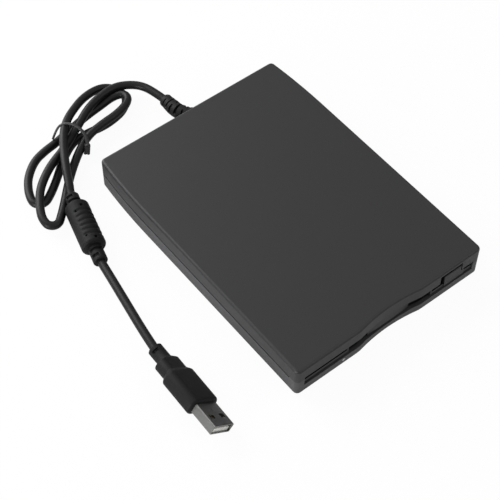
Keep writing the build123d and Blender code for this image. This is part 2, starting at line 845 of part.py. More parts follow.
# Eject slide: sheet with two ramped wings, the button's tab and the latch tab
slide_top_z = slide_z + slide_sheet
with BuildPart() as eject_slide_plate:
    with BuildSketch(Plane.XY.offset(slide_z)):
        with Locations((0, sum(slide_y) / 2)):
            Rectangle(2 * slide_outer, slide_y[1] - slide_y[0])
        with Locations((0, (slide_y[1] + arm_window_y[0]) / 2)):
            Rectangle(2 * arm_slot_half, slide_y[1] - arm_window_y[0], mode=Mode.SUBTRACT)
        with Locations((0, spindle_y)):
            Circle(hub_radius, mode=Mode.SUBTRACT)
        with Locations((lever_x, slide_tail_rear)):
            Rectangle(slide_tail_wide, slide_tail_long + slide_sheet, align=(Align.MAX, Align.MAX))
    extrude(amount=slide_sheet)
    for side in sides:
        block(both(side, (slide_outer - slide_sheet, slide_outer)), slide_y,
              (slide_foot_z, slide_top_z))
        block(about(side * spring_x, spring_post_half), (spring_y[1], spring_y[1] + spring_post),
              (slide_z, spring_z + spring_post_half))
    block(socket_x, (slide_y[0], slide_y[0] + slide_sheet), (slide_z, socket_top_z))
    block(socket_x, (stem_rear - socket_deep, slide_y[0] + slide_sheet), socket_z)
    block((lever_x - slide_tab_left, lever_x - slide_tab_right),
          (slide_tail_rear - slide_tab_thick, slide_tail_rear), (slide_tab_foot_z, slide_top_z))
    for y in pin_stations:
        with BuildSketch(Plane.YZ.offset(-slide_outer - cut_over)):
            middle = (y + slide_travel / 2, pin_z - disk_drop / 2)
            SlotCenterPoint(middle, (y, pin_z), tail_slot)
        extrude(amount=2 * (slide_outer + cut_over), mode=Mode.SUBTRACT)

# Eject springs: close-wound coils beside the slide, each drawn as one sleeve
with BuildPart() as eject_springs:
    for side in sides:
        shaft_along_y(side * spring_x, spring_z, spring_radius, spring_y)
        shaft_along_y(side * spring_x, spring_z, spring_bore, spring_y, Mode.SUBTRACT)

# Disk cradle: folded channel that carries the diskette down on to the spindle
with BuildPart() as disk_cradle:
    with BuildSketch(Plane.XY.offset(cradle_top_z - thin_sheet)):
        with Locations((0, sum(cradle_y) / 2)):
            Rectangle(2 * cradle_outer, cradle_y[1] - cradle_y[0])
        with Locations((0, (cradle_y[1] + arm_window_y[0]) / 2)):
            Rectangle(2 * arm_slot_half, cradle_y[1] - arm_window_y[0], mode=Mode.SUBTRACT)
        with Locations((0, spindle_y)):
            Circle(hub_radius, mode=Mode.SUBTRACT)
    extrude(amount=thin_sheet)
    for side in sides:
        block(both(side, (cradle_outer - thin_sheet, cradle_outer)), cradle_y,
              (cradle_z, cradle_top_z))
        block(both(side, (cradle_outer - cradle_flange, cradle_outer)), cradle_y, (cradle_z, disk_rest_z))
    block((thin_sheet - cradle_outer, lever_x + cradle_notch_right),
          (cradle_y[1] - cradle_notch_long, cradle_y[1]),
          (cradle_top_z - thin_sheet, cradle_top_z), Mode.SUBTRACT)

# Cradle pins, riveted through the cradle's sides
with BuildPart() as cradle_pins:
    for side in sides:
        for y in pin_stations:
            pin_x = both(side, (cradle_outer, frame_half_width - pin_end_gap))
            shaft_along_x(y, pin_z, pin_radius, pin_x)

# Latch lever and its pivot post
lever_plane = Plane.XY.offset(lever_z)
with BuildPart() as latch_lever:
    hook_x = (lever_x - lever_hook_left, lever_x + lever_hook_right)
    hook_y = (lever_pivot[1] - lever_hook_front, lever_pivot[1] - lever_hook_rear)
    hook_end = (sum(hook_x) / 2 + lever_hook_offset, sum(hook_y) / 2)
    with BuildSketch(lever_plane):
        for end, wide in ((lever_tip, lever_arm), (hook_end, lever_short_arm)):
            centre = ((lever_pivot[0] + end[0]) / 2, (lever_pivot[1] + end[1]) / 2)
            SlotCenterPoint(centre, end, wide)
        with Locations(lever_pivot):
            Circle(lever_base_radius)
        with Locations((sum(hook_x) / 2, sum(hook_y) / 2)):
            Rectangle(hook_x[1] - hook_x[0], hook_y[1] - hook_y[0])
        with Locations(lever_pivot):
            Circle(lever_post_radius + lever_play, mode=Mode.SUBTRACT)
    extrude(amount=lever_thick)

with BuildPart() as latch_post:
    lever_top_z = lever_z + lever_thick
    post(lever_pivot, lever_base_radius, (frame_floor_z, lever_z - lever_play))
    post(lever_pivot, lever_post_radius, (frame_floor_z, lever_top_z + lever_play))
    cap_z = lever_top_z + lever_play
    post(lever_pivot, lever_cap_radius, (cap_z, cap_z + lever_cap_thick))

# Motor board with its bearing and flat coils
with BuildPart() as motor_board:
    with BuildSketch(Plane.XY.offset(board_z)):
        with Locations((0, sum(motor_board_y) / 2)):
            Rectangle(2 * motor_board_half, motor_board_y[1] - motor_board_y[0])
        with Locations((lamp_x, pipe_rear + lamp_gap)):
            Rectangle(2 * lamp_tongue_half, motor_board_y[0] - pipe_rear,
                      align=(Align.CENTER, Align.MIN))
        with Locations((0, spindle_y)):
            Circle(bearing_radius, mode=Mode.SUBTRACT)
    extrude(amount=board_thick)

with BuildPart() as motor_bearing:
    post((0, spindle_y), bearing_radius, (board_z, bearing_top_z))
    post((0, spindle_y), shaft_radius + bearing_play, (board_z, bearing_top_z), Mode.SUBTRACT)

with BuildPart() as motor_coils:
    with BuildSketch(Plane.XY.offset(frame_z)):
        with Locations((0, spindle_y)):
            with PolarLocations(coil_ring_radius, coil_count):
                Circle(coil_outer)
                Circle(coil_inner, mode=Mode.SUBTRACT)
    extrude(amount=coil_thick)

# Rotor: web and rim in one drawn sheet
with BuildPart() as rotor:
    rotor_top_z = rotor_z + rotor_sheet
    with BuildSketch(Plane.XZ.offset(-spindle_y)):
        with BuildLine():
            Polyline(
                (shaft_radius, rotor_z),
                (rotor_radius - rotor_rim, rotor_z),
                (rotor_radius - rotor_rim, rotor_rim_foot_z),
                (rotor_radius, rotor_rim_foot_z),
                (rotor_radius, rotor_top_z),
                (shaft_radius, rotor_top_z),
                close=True,
            )
        make_face()
    revolve(axis=Axis((0, spindle_y, 0), (0, 0, 1)))

with BuildPart() as magnet_ring:
    magnet_z = (rotor_z - magnet_thick, rotor_z)
    post((0, spindle_y), rotor_radius - rotor_rim - magnet_play, magnet_z)
    post((0, spindle_y), magnet_inner, magnet_z, Mode.SUBTRACT)

with BuildPart() as spindle_shaft:
    post((0, spindle_y), shaft_radius, shaft_z)
    chamfer(spindle_shaft.edges().sort_by(Axis.Z)[-1], length=shaft_chamfer)

# Hub plate with the opening for the sprung drive pin
with BuildPart() as hub_plate:
    hub_z = (rotor_top_z, rotor_top_z + hub_thick)
    post((0, spindle_y), hub_radius, hub_z)
    post((0, spindle_y), shaft_radius, hub_z, Mode.SUBTRACT)

with BuildPart() as drive_pin:
    post((drive_pin_offset, spindle_y), drive_pin_radius, (hub_z[1], hub_z[1] + drive_pin_tall))
    chamfer(drive_pin.edges().sort_by(Axis.Z)[-1], length=shaft_chamfer)

# Head carriage: riser on the rod and the screw, with the lower arm under the diskette
arm_front_y = head_y - arm_tip_ahead
with BuildPart() as head_carriage:
    block(about(0, riser_half), riser_y, riser_z)
    block(about(0, lower_arm_half), riser_y, (lower_arm_z[0], riser_z[0]))
    with BuildSketch(Plane.XY.offset(lower_arm_z[0])):
        with BuildLine():
            Polyline(
                (-lower_arm_half, riser_y[0]),
                (-lower_arm_half, head_y + lower_arm_taper),
                (-lower_arm_tip, arm_front_y),
                (lower_arm_tip, arm_front_y),
                (lower_arm_half, head_y + lower_arm_taper),
                (lower_arm_half, riser_y[0]),
                close=True,
            )
        make_face()
    extrude(amount=lower_arm_z[1] - lower_arm_z[0])
    block(about(0, head_seat), about(head_y, head_seat),
          (lower_arm_z[1], lower_head_top_z - head_thick))
    block(about(0, arm_lug_half), about(arm_axis_y, arm_lug_long),
          (riser_z[1], arm_axis_z + arm_lug_tall))
    shaft_along_x(arm_axis_y, arm_axis_z, arm_pin_radius + arm_pin_play,
                  about(0, arm_lug_half), Mode.SUBTRACT)
    shaft_along_y(rod_x, rail_z, rod_radius + rod_play, riser_y, Mode.SUBTRACT)
    shaft_along_y(screw_x, rail_z, screw_radius + screw_play, riser_y, Mode.SUBTRACT)

with BuildPart() as lower_head:
    block(about(0, head_half), about(head_y, head_half),
          (lower_head_top_z - head_thick, lower_head_top_z))

# Upper head arm, forked round the carriage's lug
with BuildPart() as upper_arm:
    fork_y = riser_y[0] - arm_fork_gap
    upper_arm_long = fork_y - arm_front_y
    taper_y = arm_front_y + upper_arm_taper_share * upper_arm_long
    with BuildSketch(Plane.XY.offset(upper_arm_z[0])):
        with BuildLine():
            Polyline(
                (-arm_half, fork_y),
                (-arm_half, taper_y),
                (-arm_tip, arm_front_y),
                (arm_tip, arm_front_y),
                (arm_half, taper_y),
                (arm_half, fork_y),
                close=True,
            )
        make_face()
        with Locations((0, (taper_y + fork_y) / 2)):
            SlotOverall(arm_slot_share * upper_arm_long, arm_slot_wide, rotation=90,
                        mode=Mode.SUBTRACT)
    extrude(amount=upper_arm_z[1] - upper_arm_z[0])
    for side in sides:
        block(both(side, arm_ear), (fork_y - cut_over, arm_axis_y + arm_ear_long), upper_arm_z)
    shaft_along_x(arm_axis_y, arm_axis_z, arm_pin_radius, about(0, arm_ear[1]), Mode.SUBTRACT)

with BuildPart() as upper_head:
    block(about(0, head_half), about(head_y, head_half),
          (upper_arm_z[0] - head_thick, upper_arm_z[0]))

with BuildPart() as arm_pin:
    shaft_along_x(arm_axis_y, arm_axis_z, arm_pin_radius, about(0, arm_ear[1]))

# Guide rod in its two blocks
with BuildPart() as guide_rod:
    shaft_along_y(rod_x, rail_z, rod_radius, (block_front_y[0], block_rear_y[1]))

with BuildPart() as rod_blocks:
    for span in (block_front_y, block_rear_y):
        block(about(rod_x, block_half), span, (frame_floor_z, block_top_z))
        shaft_along_y(rod_x, rail_z, rod_radius, span, Mode.SUBTRACT)

# Stepper motor, its bracket and the lead screw
bracket_y = (stepper_y[0] - bracket_sheet, stepper_y[0])
ear_front = block_front_y[0]
with BuildPart() as stepper_bracket:
    block(about(screw_x, bracket_half), bracket_y,
          (frame_floor_z, rail_z + stepper_radius + bracket_over))
    block(bracket_strip, (ear_front, stepper_y[0]),
          (frame_floor_z, frame_floor_z + bracket_sheet))
    block(about(screw_x, bracket_ear_half), (ear_front, ear_front + bracket_sheet),
          (frame_floor_z, rail_z + bracket_ear_over))
    shaft_along_y(screw_x, rail_z, screw_radius + screw_play, bracket_y, Mode.SUBTRACT)
    shaft_along_y(screw_x, rail_z, journal_radius + hinge_play,
                  (ear_front, ear_front + bracket_sheet), Mode.SUBTRACT)

with BuildPart() as stepper_motor:
    shaft_along_y(screw_x, rail_z, stepper_radius, stepper_y)
    chamfer(stepper_motor.edges().filter_by(GeomType.CIRCLE).sort_by(Axis.Y)[-1],
            length=stepper_chamfer)
    shaft_along_y(screw_x, rail_z, journal_radius + hinge_play,
                  (stepper_y[0], stepper_y[0] + stepper_bore), Mode.SUBTRACT)

with BuildPart() as lead_screw:
    shaft_along_y(screw_x, rail_z, journal_radius, (ear_front, stepper_y[0] + journal_in_motor))
    thread_front = ear_front + bracket_sheet + thread_gap
    shaft_along_y(screw_x, rail_z, screw_radius, (thread_front, stepper_y[0]))

# Switch bodies on the motor board, with a plunger each
with BuildPart() as sense_switches:
    for at in switch_at:
        block(about(at[0], switch_body / 2), about(at[1], switch_body / 2),
              (frame_z, switch_top_z))
        post(at, plunger_radius + plunger_play, (plunger_well_z, switch_top_z), Mode.SUBTRACT)

with BuildPart() as protect_plunger:
    post(switch_at[0], plunger_radius, plunger_z)
    chamfer(protect_plunger.edges().sort_by(Axis.Z)[-1], length=plunger_chamfer)

with BuildPart() as density_plunger:
    post(switch_at[1], plunger_radius, plunger_z)
    chamfer(density_plunger.edges().sort_by(Axis.Z)[-1], length=plunger_chamfer)

# Main board under the frame, with its chips standing in the frame's cut-outs
with BuildPart() as main_board:
    with BuildSketch(Plane.XY.offset(board_z)):
        with Locations((0, sum(main_board_y) / 2)):
            Rectangle(2 * main_board_half, main_board_y[1] - main_board_y[0])
        tongue_long = ribbon_y[0] - main_board_y[1] + cable_tongue_side / 2
        with Locations((sum(ribbon_x) / 2, main_board_y[1] + tongue_long / 2)):
            Rectangle(ribbon_wide + 2 * cable_tongue_side, tongue_long)
    extrude(amount=board_thick)

with BuildPart() as main_chips:
    for at in (left_chip_at, right_chip_at):
        block(about(at[0], chip_size / 2), about(at[1], chip_size / 2),
              (frame_z, frame_z + chip_tall))
    chamfer(main_chips.faces().group_by(Axis.Z)[-1].edges(), length=chip_chamfer)

# USB board across the rear, with its chip, the cord's header and the ribbon from the main board
with BuildPart() as usb_board:
    block(usb_board_x, usb_board_y, usb_board_z)

with BuildPart() as usb_chip_block:
    with Locations(Location((*usb_chip_at, usb_board_z[1] + usb_chip[2] / 2))):
        Box(*usb_chip)

with BuildPart() as cord_header:
    block(about(relief_x, header_wide / 2), header_y, (usb_board_z[1], header_top_z))

with BuildPart() as ribbon_cable:
    with BuildSketch(Plane.YZ.offset(ribbon_x[0])):
        with BuildLine():
            Polyline(
                (ribbon_y[0], frame_z),
                (ribbon_y[0], ribbon_top_z),
                (ribbon_y[1], ribbon_top_z),
                (ribbon_y[1], usb_board_z[1]),
                (ribbon_y[1] - ribbon_thick, usb_board_z[1]),
                (ribbon_y[1] - ribbon_thick, ribbon_top_z - ribbon_thick),
                (ribbon_y[0] + ribbon_thick, ribbon_top_z - ribbon_thick),
                (ribbon_y[0] + ribbon_thick, frame_z),
                close=True,
            )
        make_face()
    extrude(amount=ribbon_wide)

with BuildPart() as activity_lamp:
    lamp_y = pipe_rear + lamp_gap
    block(about(lamp_x, lamp_size[0] / 2), (lamp_y, lamp_y + lamp_size[1]),
          (frame_z, frame_z + lamp_size[2]))

# Strain relief: flanged collar in the rear wall and a flexible ribbed tail that droops
with BuildPart() as strain_relief:
    relief_points = from_rear(relief_route)
    with BuildLine():
        relief_path = FilletPolyline(*relief_points, radius=tube_radii(relief_points))
    with BuildSketch(Plane(origin=relief_path @ 0, z_dir=relief_path % 0)):
        Circle(relief_core)
    sweep()
    shaft_along_y(*relief_hole, relief_neck, (wall_inner_y, rear_y))
    flange_y = (wall_inner_y - relief_flange_thick, wall_inner_y)
    shaft_along_y(*relief_hole, relief_flange, flange_y)
    shaft_along_y(*relief_hole, relief_base, (rear_y, rear_y + relief_base_long))
    shaft_along_y(*relief_hole, cord_diameter / 2, (header_y[1], flange_y[0]))
    for place in relief_rings_at:
        with BuildSketch(Plane(origin=relief_path @ place, z_dir=relief_path % place)):
            Circle(relief_ring * (1 - relief_ring_taper * place))
        extrude(amount=relief_ring_wide)
    with BuildSketch(Plane(origin=relief_path @ 1, z_dir=relief_path % 1)):
        Circle(relief_tip)
    extrude(amount=-relief_tip_long)

# Cord from the strain relief to the hank
with BuildPart() as cord_lead:
    lead_points = from_rear(cord_lead_route)
    with BuildLine():
        lead_path = FilletPolyline(*lead_points, radius=tube_radii(lead_points))
    with BuildSketch(Plane(origin=lead_path @ 0, z_dir=lead_path % 0)):
        Circle(cord_diameter / 2)
    sweep()

# Hank: the closed outer shape of the folded cord
with BuildPart() as cord_hank:
    with BuildSketch():
        with BuildLine():
            Polyline(*[(x, rear_y + y) for x, y in hank_outline], close=True)
        make_face()
    extrude(amount=hank_height)
    fillet(cord_hank.faces().sort_by(Axis.Z)[-1].edges(), radius=hank_round)

# Twist tie: a wire arched over the hank, its twisted end hanging at the side
with BuildPart() as twist_tie:
    tie_points = from_rear(tie_route)
    with BuildLine():
        tie_path = FilletPolyline(*tie_points, radius=tube_radii(tie_points))
    with BuildSketch(Plane(origin=tie_path @ 0, z_dir=tie_path % 0)):
        Circle(tie_diameter / 2)
    sweep()
    post((tie_knot[0], rear_y + tie_knot[1]), tie_knot_radius, tie_knot_z)

# Cord from the hank to the bead
with BuildPart() as cord_to_bead:
    to_bead_points = from_rear(to_bead_route)
    with BuildLine():
        to_bead_path = FilletPolyline(*to_bead_points, radius=tube_radii(to_bead_points))
    with BuildSketch(Plane(origin=to_bead_path @ 0, z_dir=to_bead_path % 0)):
        Circle(cord_diameter / 2)
    sweep()

# Ferrite bead: moulded sleeve with grooves over its upper side, blind holes from the mould's
# pins and a stepped relief at each end
upward = Vector(0, 0, 1)
bead_start = Vector(*from_rear([bead_at])[0])
bead_along = Vector(*bead_heading)
bead_across = upward.cross(bead_along)
bead_axis = Axis(bead_start, bead_along)
bead_end_plane = Plane(origin=bead_start, x_dir=bead_across, z_dir=bead_along)
bead_side_plane = Plane(origin=bead_start, x_dir=bead_along, z_dir=upward)
with BuildPart() as ferrite_bead:
    with BuildSketch(bead_side_plane) as half_section:
        Rectangle(bead_long, bead_radius, align=(Align.MIN, Align.MIN))
        fillet(half_section.vertices().group_by(Axis.Y)[-1], radius=bead_end_round)
    revolve(axis=bead_axis)
    with BuildSketch(bead_side_plane.rotated((bead_groove_from, 0, 0))):
        with Locations((bead_middle, bead_radius)):
            with GridLocations(bead_groove_pitch, 0, bead_groove_count, 1):
                Rectangle(bead_groove_wide, 2 * bead_groove_depth)
    revolve(axis=bead_axis, revolution_arc=bead_groove_arc, mode=Mode.SUBTRACT)
    for along, angle in bead_pins:
        outward = bead_across * cos(radians(angle)) + upward * sin(radians(angle))
        foot = bead_start + bead_along * (bead_middle + along)
        with BuildSketch(Plane(origin=foot + outward * (bead_radius - bead_pin_depth),
                               x_dir=bead_along, z_dir=outward)):
            Circle(bead_pin_hole)
        extrude(amount=2 * bead_pin_depth, mode=Mode.SUBTRACT)
    for reach, start in ((-bead_upper_relief, 0.0), (bead_lower_relief, bead_long)):
        step = reach / bead_relief_steps
        with BuildSketch(bead_end_plane.offset(start)):
            Circle(bead_relief_groove)
        extrude(amount=reach)
        for ring in range(0, bead_relief_steps, 2):
            with BuildSketch(bead_end_plane.offset(start + ring * step)):
                Circle(bead_relief_radius)
            extrude(amount=step)

# Cord from the bead to the plug
with BuildPart() as cord_to_plug:
    to_plug_points = from_rear(to_plug_route)
    with BuildLine():
        to_plug_path = FilletPolyline(*to_plug_points, radius=tube_radii(to_plug_points))
    with BuildSketch(Plane(origin=to_plug_path @ 0, z_dir=to_plug_path % 0)):
        Circle(cord_diameter / 2)
    sweep()

# Plug: overmoulded grip stepped down to the cord, rolled over on its edge
roll = radians(plug_roll)
plug_along = Vector(*plug_heading)
plug_wide = upward.cross(plug_along) * cos(roll) - upward * sin(roll)
plug_plane = Plane(origin=to_plug_points[-1], x_dir=plug_wide, z_dir=plug_along)
collar_from = neck_long + collar_shoulder
collar_to = collar_from + collar_long
grip_from = collar_to + grip_shoulder
grip_to = grip_from + grip_long
plug_to = grip_to + shell_long
with BuildPart() as plug_grip:
    with BuildSketch(plug_plane):
        Circle(neck_groove)
    extrude(amount=neck_long)
    for ring in range(0, neck_steps, 2):
        with BuildSketch(plug_plane.offset(ring * neck_long / neck_steps)):
            Circle(neck_radius)
        extrude(amount=neck_long / neck_steps)
    with BuildSketch(plug_plane.offset(neck_long)):
        RectangleRounded(2 * neck_radius, 2 * neck_radius - neck_flat, neck_corner)
    with BuildSketch(plug_plane.offset(collar_from)):
        RectangleRounded(*collar_size)
    loft()
    with BuildSketch(plug_plane.offset(collar_from)):
        RectangleRounded(*collar_size)
    extrude(amount=collar_long)
    with BuildSketch(plug_plane.offset(collar_to)):
        RectangleRounded(*collar_size)
    with BuildSketch(plug_plane.offset(grip_from)):
        RectangleRounded(*grip_size)
    loft()
    with BuildSketch(plug_plane.offset(grip_from)):
        RectangleRounded(*grip_size)
    extrude(amount=grip_long)
    with BuildSketch(plug_plane.offset(grip_to - shell_buried)):
        RectangleRounded(*shell_size, shell_corner)
    extrude(amount=shell_buried, mode=Mode.SUBTRACT)

with BuildPart() as plug_shell:
    with BuildSketch(plug_plane.offset(grip_to - shell_buried)):
        RectangleRounded(*shell_size, shell_corner)
    extrude(amount=shell_long + shell_buried)
    inner = (shell_size[0] - 2 * shell_wall, shell_size[1] - 2 * shell_wall)
    with BuildSketch(plug_plane.offset(grip_to - shell_buried)):
        RectangleRounded(*inner, shell_corner - shell_wall)
    extrude(amount=shell_long + shell_buried, mode=Mode.SUBTRACT)
    with BuildSketch(plug_plane.offset(plug_to - latch_hole_back - latch_hole[1] / 2)):
        with Locations((-latch_hole_x, 0), (latch_hole_x, 0)):
            Rectangle(latch_hole[0], 2 * shell_size[1])
    extrude(amount=latch_hole[1], mode=Mode.SUBTRACT)
    with BuildSketch(plug_plane.offset(plug_to - dimple_back - dimple[1] / 2)):
        with Locations((0, shell_size[1] / 2)):
            Rectangle(dimple[0], shell_wall)
    extrude(amount=dimple[1], mode=Mode.SUBTRACT)

with BuildPart() as plug_tongue:
    tongue_y = -inner[1] / 2 + tongue_thick / 2
    with BuildSketch(plug_plane.offset(grip_to - shell_buried)):
        with Locations((0, tongue_y)):
            Rectangle(inner[0] - 2 * shell_wall, tongue_thick)
    extrude(amount=shell_long + shell_buried - tongue_back)
    with BuildSketch(plug_plane.offset(grip_to - shell_buried)):
        RectangleRounded(*inner, shell_corner - shell_wall)
    extrude(amount=shell_buried)

with BuildPart() as plug_contacts:
    contact_y = tongue_y + tongue_thick / 2 + contact_thick / 2
    contact_to = plug_to - tongue_back - contact_inset
    with BuildSketch(plug_plane.offset(contact_to - contact_long)):
        with Locations(*[(x, contact_y) for x in contact_pitch]):
            Rectangle(contact_wide, contact_thick)
    extrude(amount=contact_long)

pieces = {
    "top_cover": top_cover,
    "bottom_cover": bottom_cover,
    "light_pipe": light_pipe,
    "case_screws": case_screws,
    "rubber_feet": rubber_feet,
    "chassis_frame": chassis_frame,
    "shield_plate": shield_plate,
    "chassis_screws": chassis_screws,
    "dust_flap": dust_flap,
    "flap_spring": flap_spring,
    "eject_button": eject_button,
    "eject_slide_plate": eject_slide_plate,
    "eject_springs": eject_springs,
    "disk_cradle": disk_cradle,
    "cradle_pins": cradle_pins,
    "latch_lever": latch_lever,
    "latch_post": latch_post,
    "motor_board": motor_board,
    "motor_bearing": motor_bearing,
    "motor_coils": motor_coils,
    "rotor": rotor,
    "magnet_ring": magnet_ring,
    "spindle_shaft": spindle_shaft,
    "hub_plate": hub_plate,
    "drive_pin": drive_pin,
    "head_carriage": head_carriage,
    "lower_head": lower_head,
    "upper_arm": upper_arm,
    "upper_head": upper_head,
    "arm_pin": arm_pin,
    "guide_rod": guide_rod,
    "rod_blocks": rod_blocks,
    "stepper_bracket": stepper_bracket,
    "stepper_motor": stepper_motor,
    "lead_screw": lead_screw,
    "sense_switches": sense_switches,
    "protect_plunger": protect_plunger,
    "density_plunger": density_plunger,
    "main_board": main_board,
    "main_chips": main_chips,
    "usb_board": usb_board,
    "usb_chip": usb_chip_block,
    "cord_header": cord_header,
    "ribbon_cable": ribbon_cable,
    "activity_lamp": activity_lamp,
    "strain_relief": strain_relief,
    "cord_lead": cord_lead,
    "cord_hank": cord_hank,
    "twist_tie": twist_tie,
    "cord_to_bead": cord_to_bead,
    "ferrite_bead": ferrite_bead,
    "cord_to_plug": cord_to_plug,
    "plug_grip": plug_grip,
    "plug_shell": plug_shell,
    "plug_tongue": plug_tongue,
    "plug_contacts": plug_contacts,
}
os.makedirs("parts", exist_ok=True)
for label, piece in pieces.items():
    piece.part.label = label
    export_step(piece.part, f"parts/{label}.step")

section = pi * (cord_diameter / 2) ** 2
for label, points, tube, path in (
    ("cord_lead", lead_points, cord_lead, lead_path),
    ("cord_to_bead", to_bead_points, cord_to_bead, to_bead_path),
    ("cord_to_plug", to_plug_points, cord_to_plug, to_plug_path),
):
    radii = [round(r, 1) for r in tube_radii(points)]
    share = tube.part.volume / (section * path.length)
    print(label, "radii", radii, "length", round(path.length, 1), "volume share", round(share, 4))
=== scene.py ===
from math import cos, exp, pi, radians, sin

import bmesh
import bpy
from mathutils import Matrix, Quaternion, Vector


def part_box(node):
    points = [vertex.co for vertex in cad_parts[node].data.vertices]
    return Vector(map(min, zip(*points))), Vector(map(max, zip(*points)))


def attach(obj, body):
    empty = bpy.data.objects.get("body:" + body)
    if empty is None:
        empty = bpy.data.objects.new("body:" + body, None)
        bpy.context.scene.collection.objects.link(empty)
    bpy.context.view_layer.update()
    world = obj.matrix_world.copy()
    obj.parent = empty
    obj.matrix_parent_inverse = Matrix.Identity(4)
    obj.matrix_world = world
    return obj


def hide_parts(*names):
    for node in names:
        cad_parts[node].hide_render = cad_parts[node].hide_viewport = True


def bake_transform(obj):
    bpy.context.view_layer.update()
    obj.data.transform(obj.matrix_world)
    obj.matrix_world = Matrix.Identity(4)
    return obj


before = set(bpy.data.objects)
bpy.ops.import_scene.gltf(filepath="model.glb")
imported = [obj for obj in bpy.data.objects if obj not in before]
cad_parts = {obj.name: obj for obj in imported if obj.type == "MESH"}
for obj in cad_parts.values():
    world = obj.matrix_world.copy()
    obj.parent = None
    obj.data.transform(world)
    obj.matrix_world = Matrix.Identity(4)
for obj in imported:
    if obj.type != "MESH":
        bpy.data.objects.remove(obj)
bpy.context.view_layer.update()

bl_info = {
    "name": "External floppy disk drive",
    "version": (1, 0, 0),
    "blender": (4, 5, 0),
    "location": "3D View > Sidebar > Floppy Drive",
    "description": "Dresses the packed drive with its cord, bead, plug, tie and finishes",
    "category": "Object",
}

MM = 0.001

# The cord's route, in millimetres: it leaves the strain relief, passes under the tie five times
# between its loops, and goes on through the bead to the plug
LEAD = [
    (0.3, 89.4, 6.8),
    (-0.9, 97.2, 7.0),
    (-3.2, 104.4, 6.9),
    (-8.0, 109.0, 6.9),
    (-14.6, 111.9, 7.0),
    (-25.0, 110.6, 6.9),
    (-32.8, 107.8, 6.5),
    (-42.5, 101.8, 6.1),
]
FRONT_LOOP = [
    (-54.6, 94.8, 5.8),
    (-63.1, 91.1, 6.0),
    (-70.0, 86.8, 6.1),
    (-76.8, 81.0, 6.1),
    (-81.7, 73.6, 5.8),
    (-84.3, 68.3, 5.2),
    (-84.6, 64.0, 4.8),
    (-83.8, 62.5, 4.6),
    (-82.4, 61.5, 4.4),
    (-80.8, 61.3, 4.2),
    (-79.2, 61.9, 4.0),
    (-77.3, 63.7, 3.7),
    (-73.7, 67.4, 3.2),
    (-69.4, 72.0, 2.9),
    (-62.4, 79.6, 2.8),
    (-54.4, 86.7, 3.4),
    (-47.3, 91.7, 4.5),
]
FIRST_BACK_LOOP = [
    (-40.4, 95.1, 5.7),
    (-32.1, 96.3, 6.3),
    (-23.6, 97.0, 6.5),
    (-17.4, 98.7, 6.5),
    (-14.0, 100.9, 6.3),
    (-12.3, 103.5, 6.0),
    (-12.5, 106.2, 5.6),
    (-14.7, 108.1, 5.0),
    (-18.6, 109.0, 4.3),
    (-24.9, 108.8, 3.1),
    (-31.6, 108.6, 2.2),
    (-42.9, 106.4, 2.0),
]
LEFT_LOOP = [
    (-53.5, 103.3, 2.0),
    (-60.5, 102.3, 2.0),
    (-67.9, 100.1, 2.0),
    (-75.4, 93.8, 2.0),
    (-79.4, 87.5, 2.0),
    (-81.3, 82.5, 2.0),
    (-81.6, 79.6, 2.0),
    (-80.5, 77.7, 2.0),
    (-78.6, 76.7, 2.0),
    (-76.5, 76.9, 2.0),
    (-74.5, 78.0, 2.0),
    (-70.4, 80.8, 2.0),
    (-64.5, 85.7, 2.0),
    (-57.0, 92.7, 2.0),
    (-47.3, 99.0, 2.0),
    (-38.5, 99.3, 2.0),
]
LAST_BACK_LOOP = [
    (-31.0, 98.1, 2.0),
    (-24.0, 98.7, 2.0),
    (-17.6, 100.4, 2.0),
    (-12.1, 104.6, 2.0),
    (-10.6, 110.0, 2.3),
    (-13.9, 115.9, 3.0),
    (-19.6, 118.1, 4.2),
    (-29.7, 116.1, 5.7),
    (-39.2, 110.7, 7.3),
    (-44.6, 106.6, 8.7),
]
TO_BEAD = [
    (-49.9, 101.2, 9.6),
    (-54.9, 94.0, 9.7),
    (-60.8, 83.4, 8.8),
    (-65.2, 74.0, 7.0),
    (-66.6, 71.7, 6.1),
    (-67.9, 67.4, 5.65),
]
TO_PLUG = [
    (-76.0, 37.4, 5.65),
    (-77.64, 31.3, 5.65),
    (-79.0, 22.6, 5.85),
    (-81.9, 6.0, 6.4),
    (-84.9, -11.0, 7.0),
    (-86.07, -20.13, 7.2),
]
CORD_ROUTE = LEAD + FRONT_LOOP + FIRST_BACK_LOOP + LEFT_LOOP + LAST_BACK_LOOP + TO_BEAD + TO_PLUG

# The strain relief's centre line, from the rear wall out and down
RELIEF_ROUTE = [
    (2.2, 70.6, 9.4),
    (2.0, 74.2, 9.4),
    (-0.4, 78.5, 9.0),
    (-0.1, 84.5, 7.8),
    (0.3, 90.0, 6.8),
]

# The tie's wire over the bundle, and the foot of the twist that starts at the wire's end
TIE_ROUTE = [
    (-54.4, 104.6, 4.0),
    (-51.2, 105.6, 8.2),
    (-48.2, 104.2, 11.4),
    (-45.4, 100.4, 12.2),
    (-43.4, 96.4, 10.9),
    (-43.2, 92.6, 8.6),
    (-44.5, 90.0, 6.6),
]
TIE_FOOT = (-46.4, 88.2, 3.2)

# Bead and plug: where each starts, which way it points, and the plug's turn in degrees
BEAD_START = (-68.94, 63.64, 5.65)
BEAD_HEADING = (-0.2599, -0.9656, 0.0)
PLUG_START = TO_PLUG[-1]
PLUG_HEADING = (-0.0258, -0.99967, 0.0)
PLUG_ROLL = 38.4

# Holes of the mould's pins in the bead: millimetres along from its middle, degrees round it
# from the level, and the hole's radius
BEAD_PINS = [
    (-9.6, 74.0, 0.6),
    (-7.2, 110.0, 0.45),
    (7.4, 110.0, 0.45),
    (9.6, 71.0, 0.65),
]

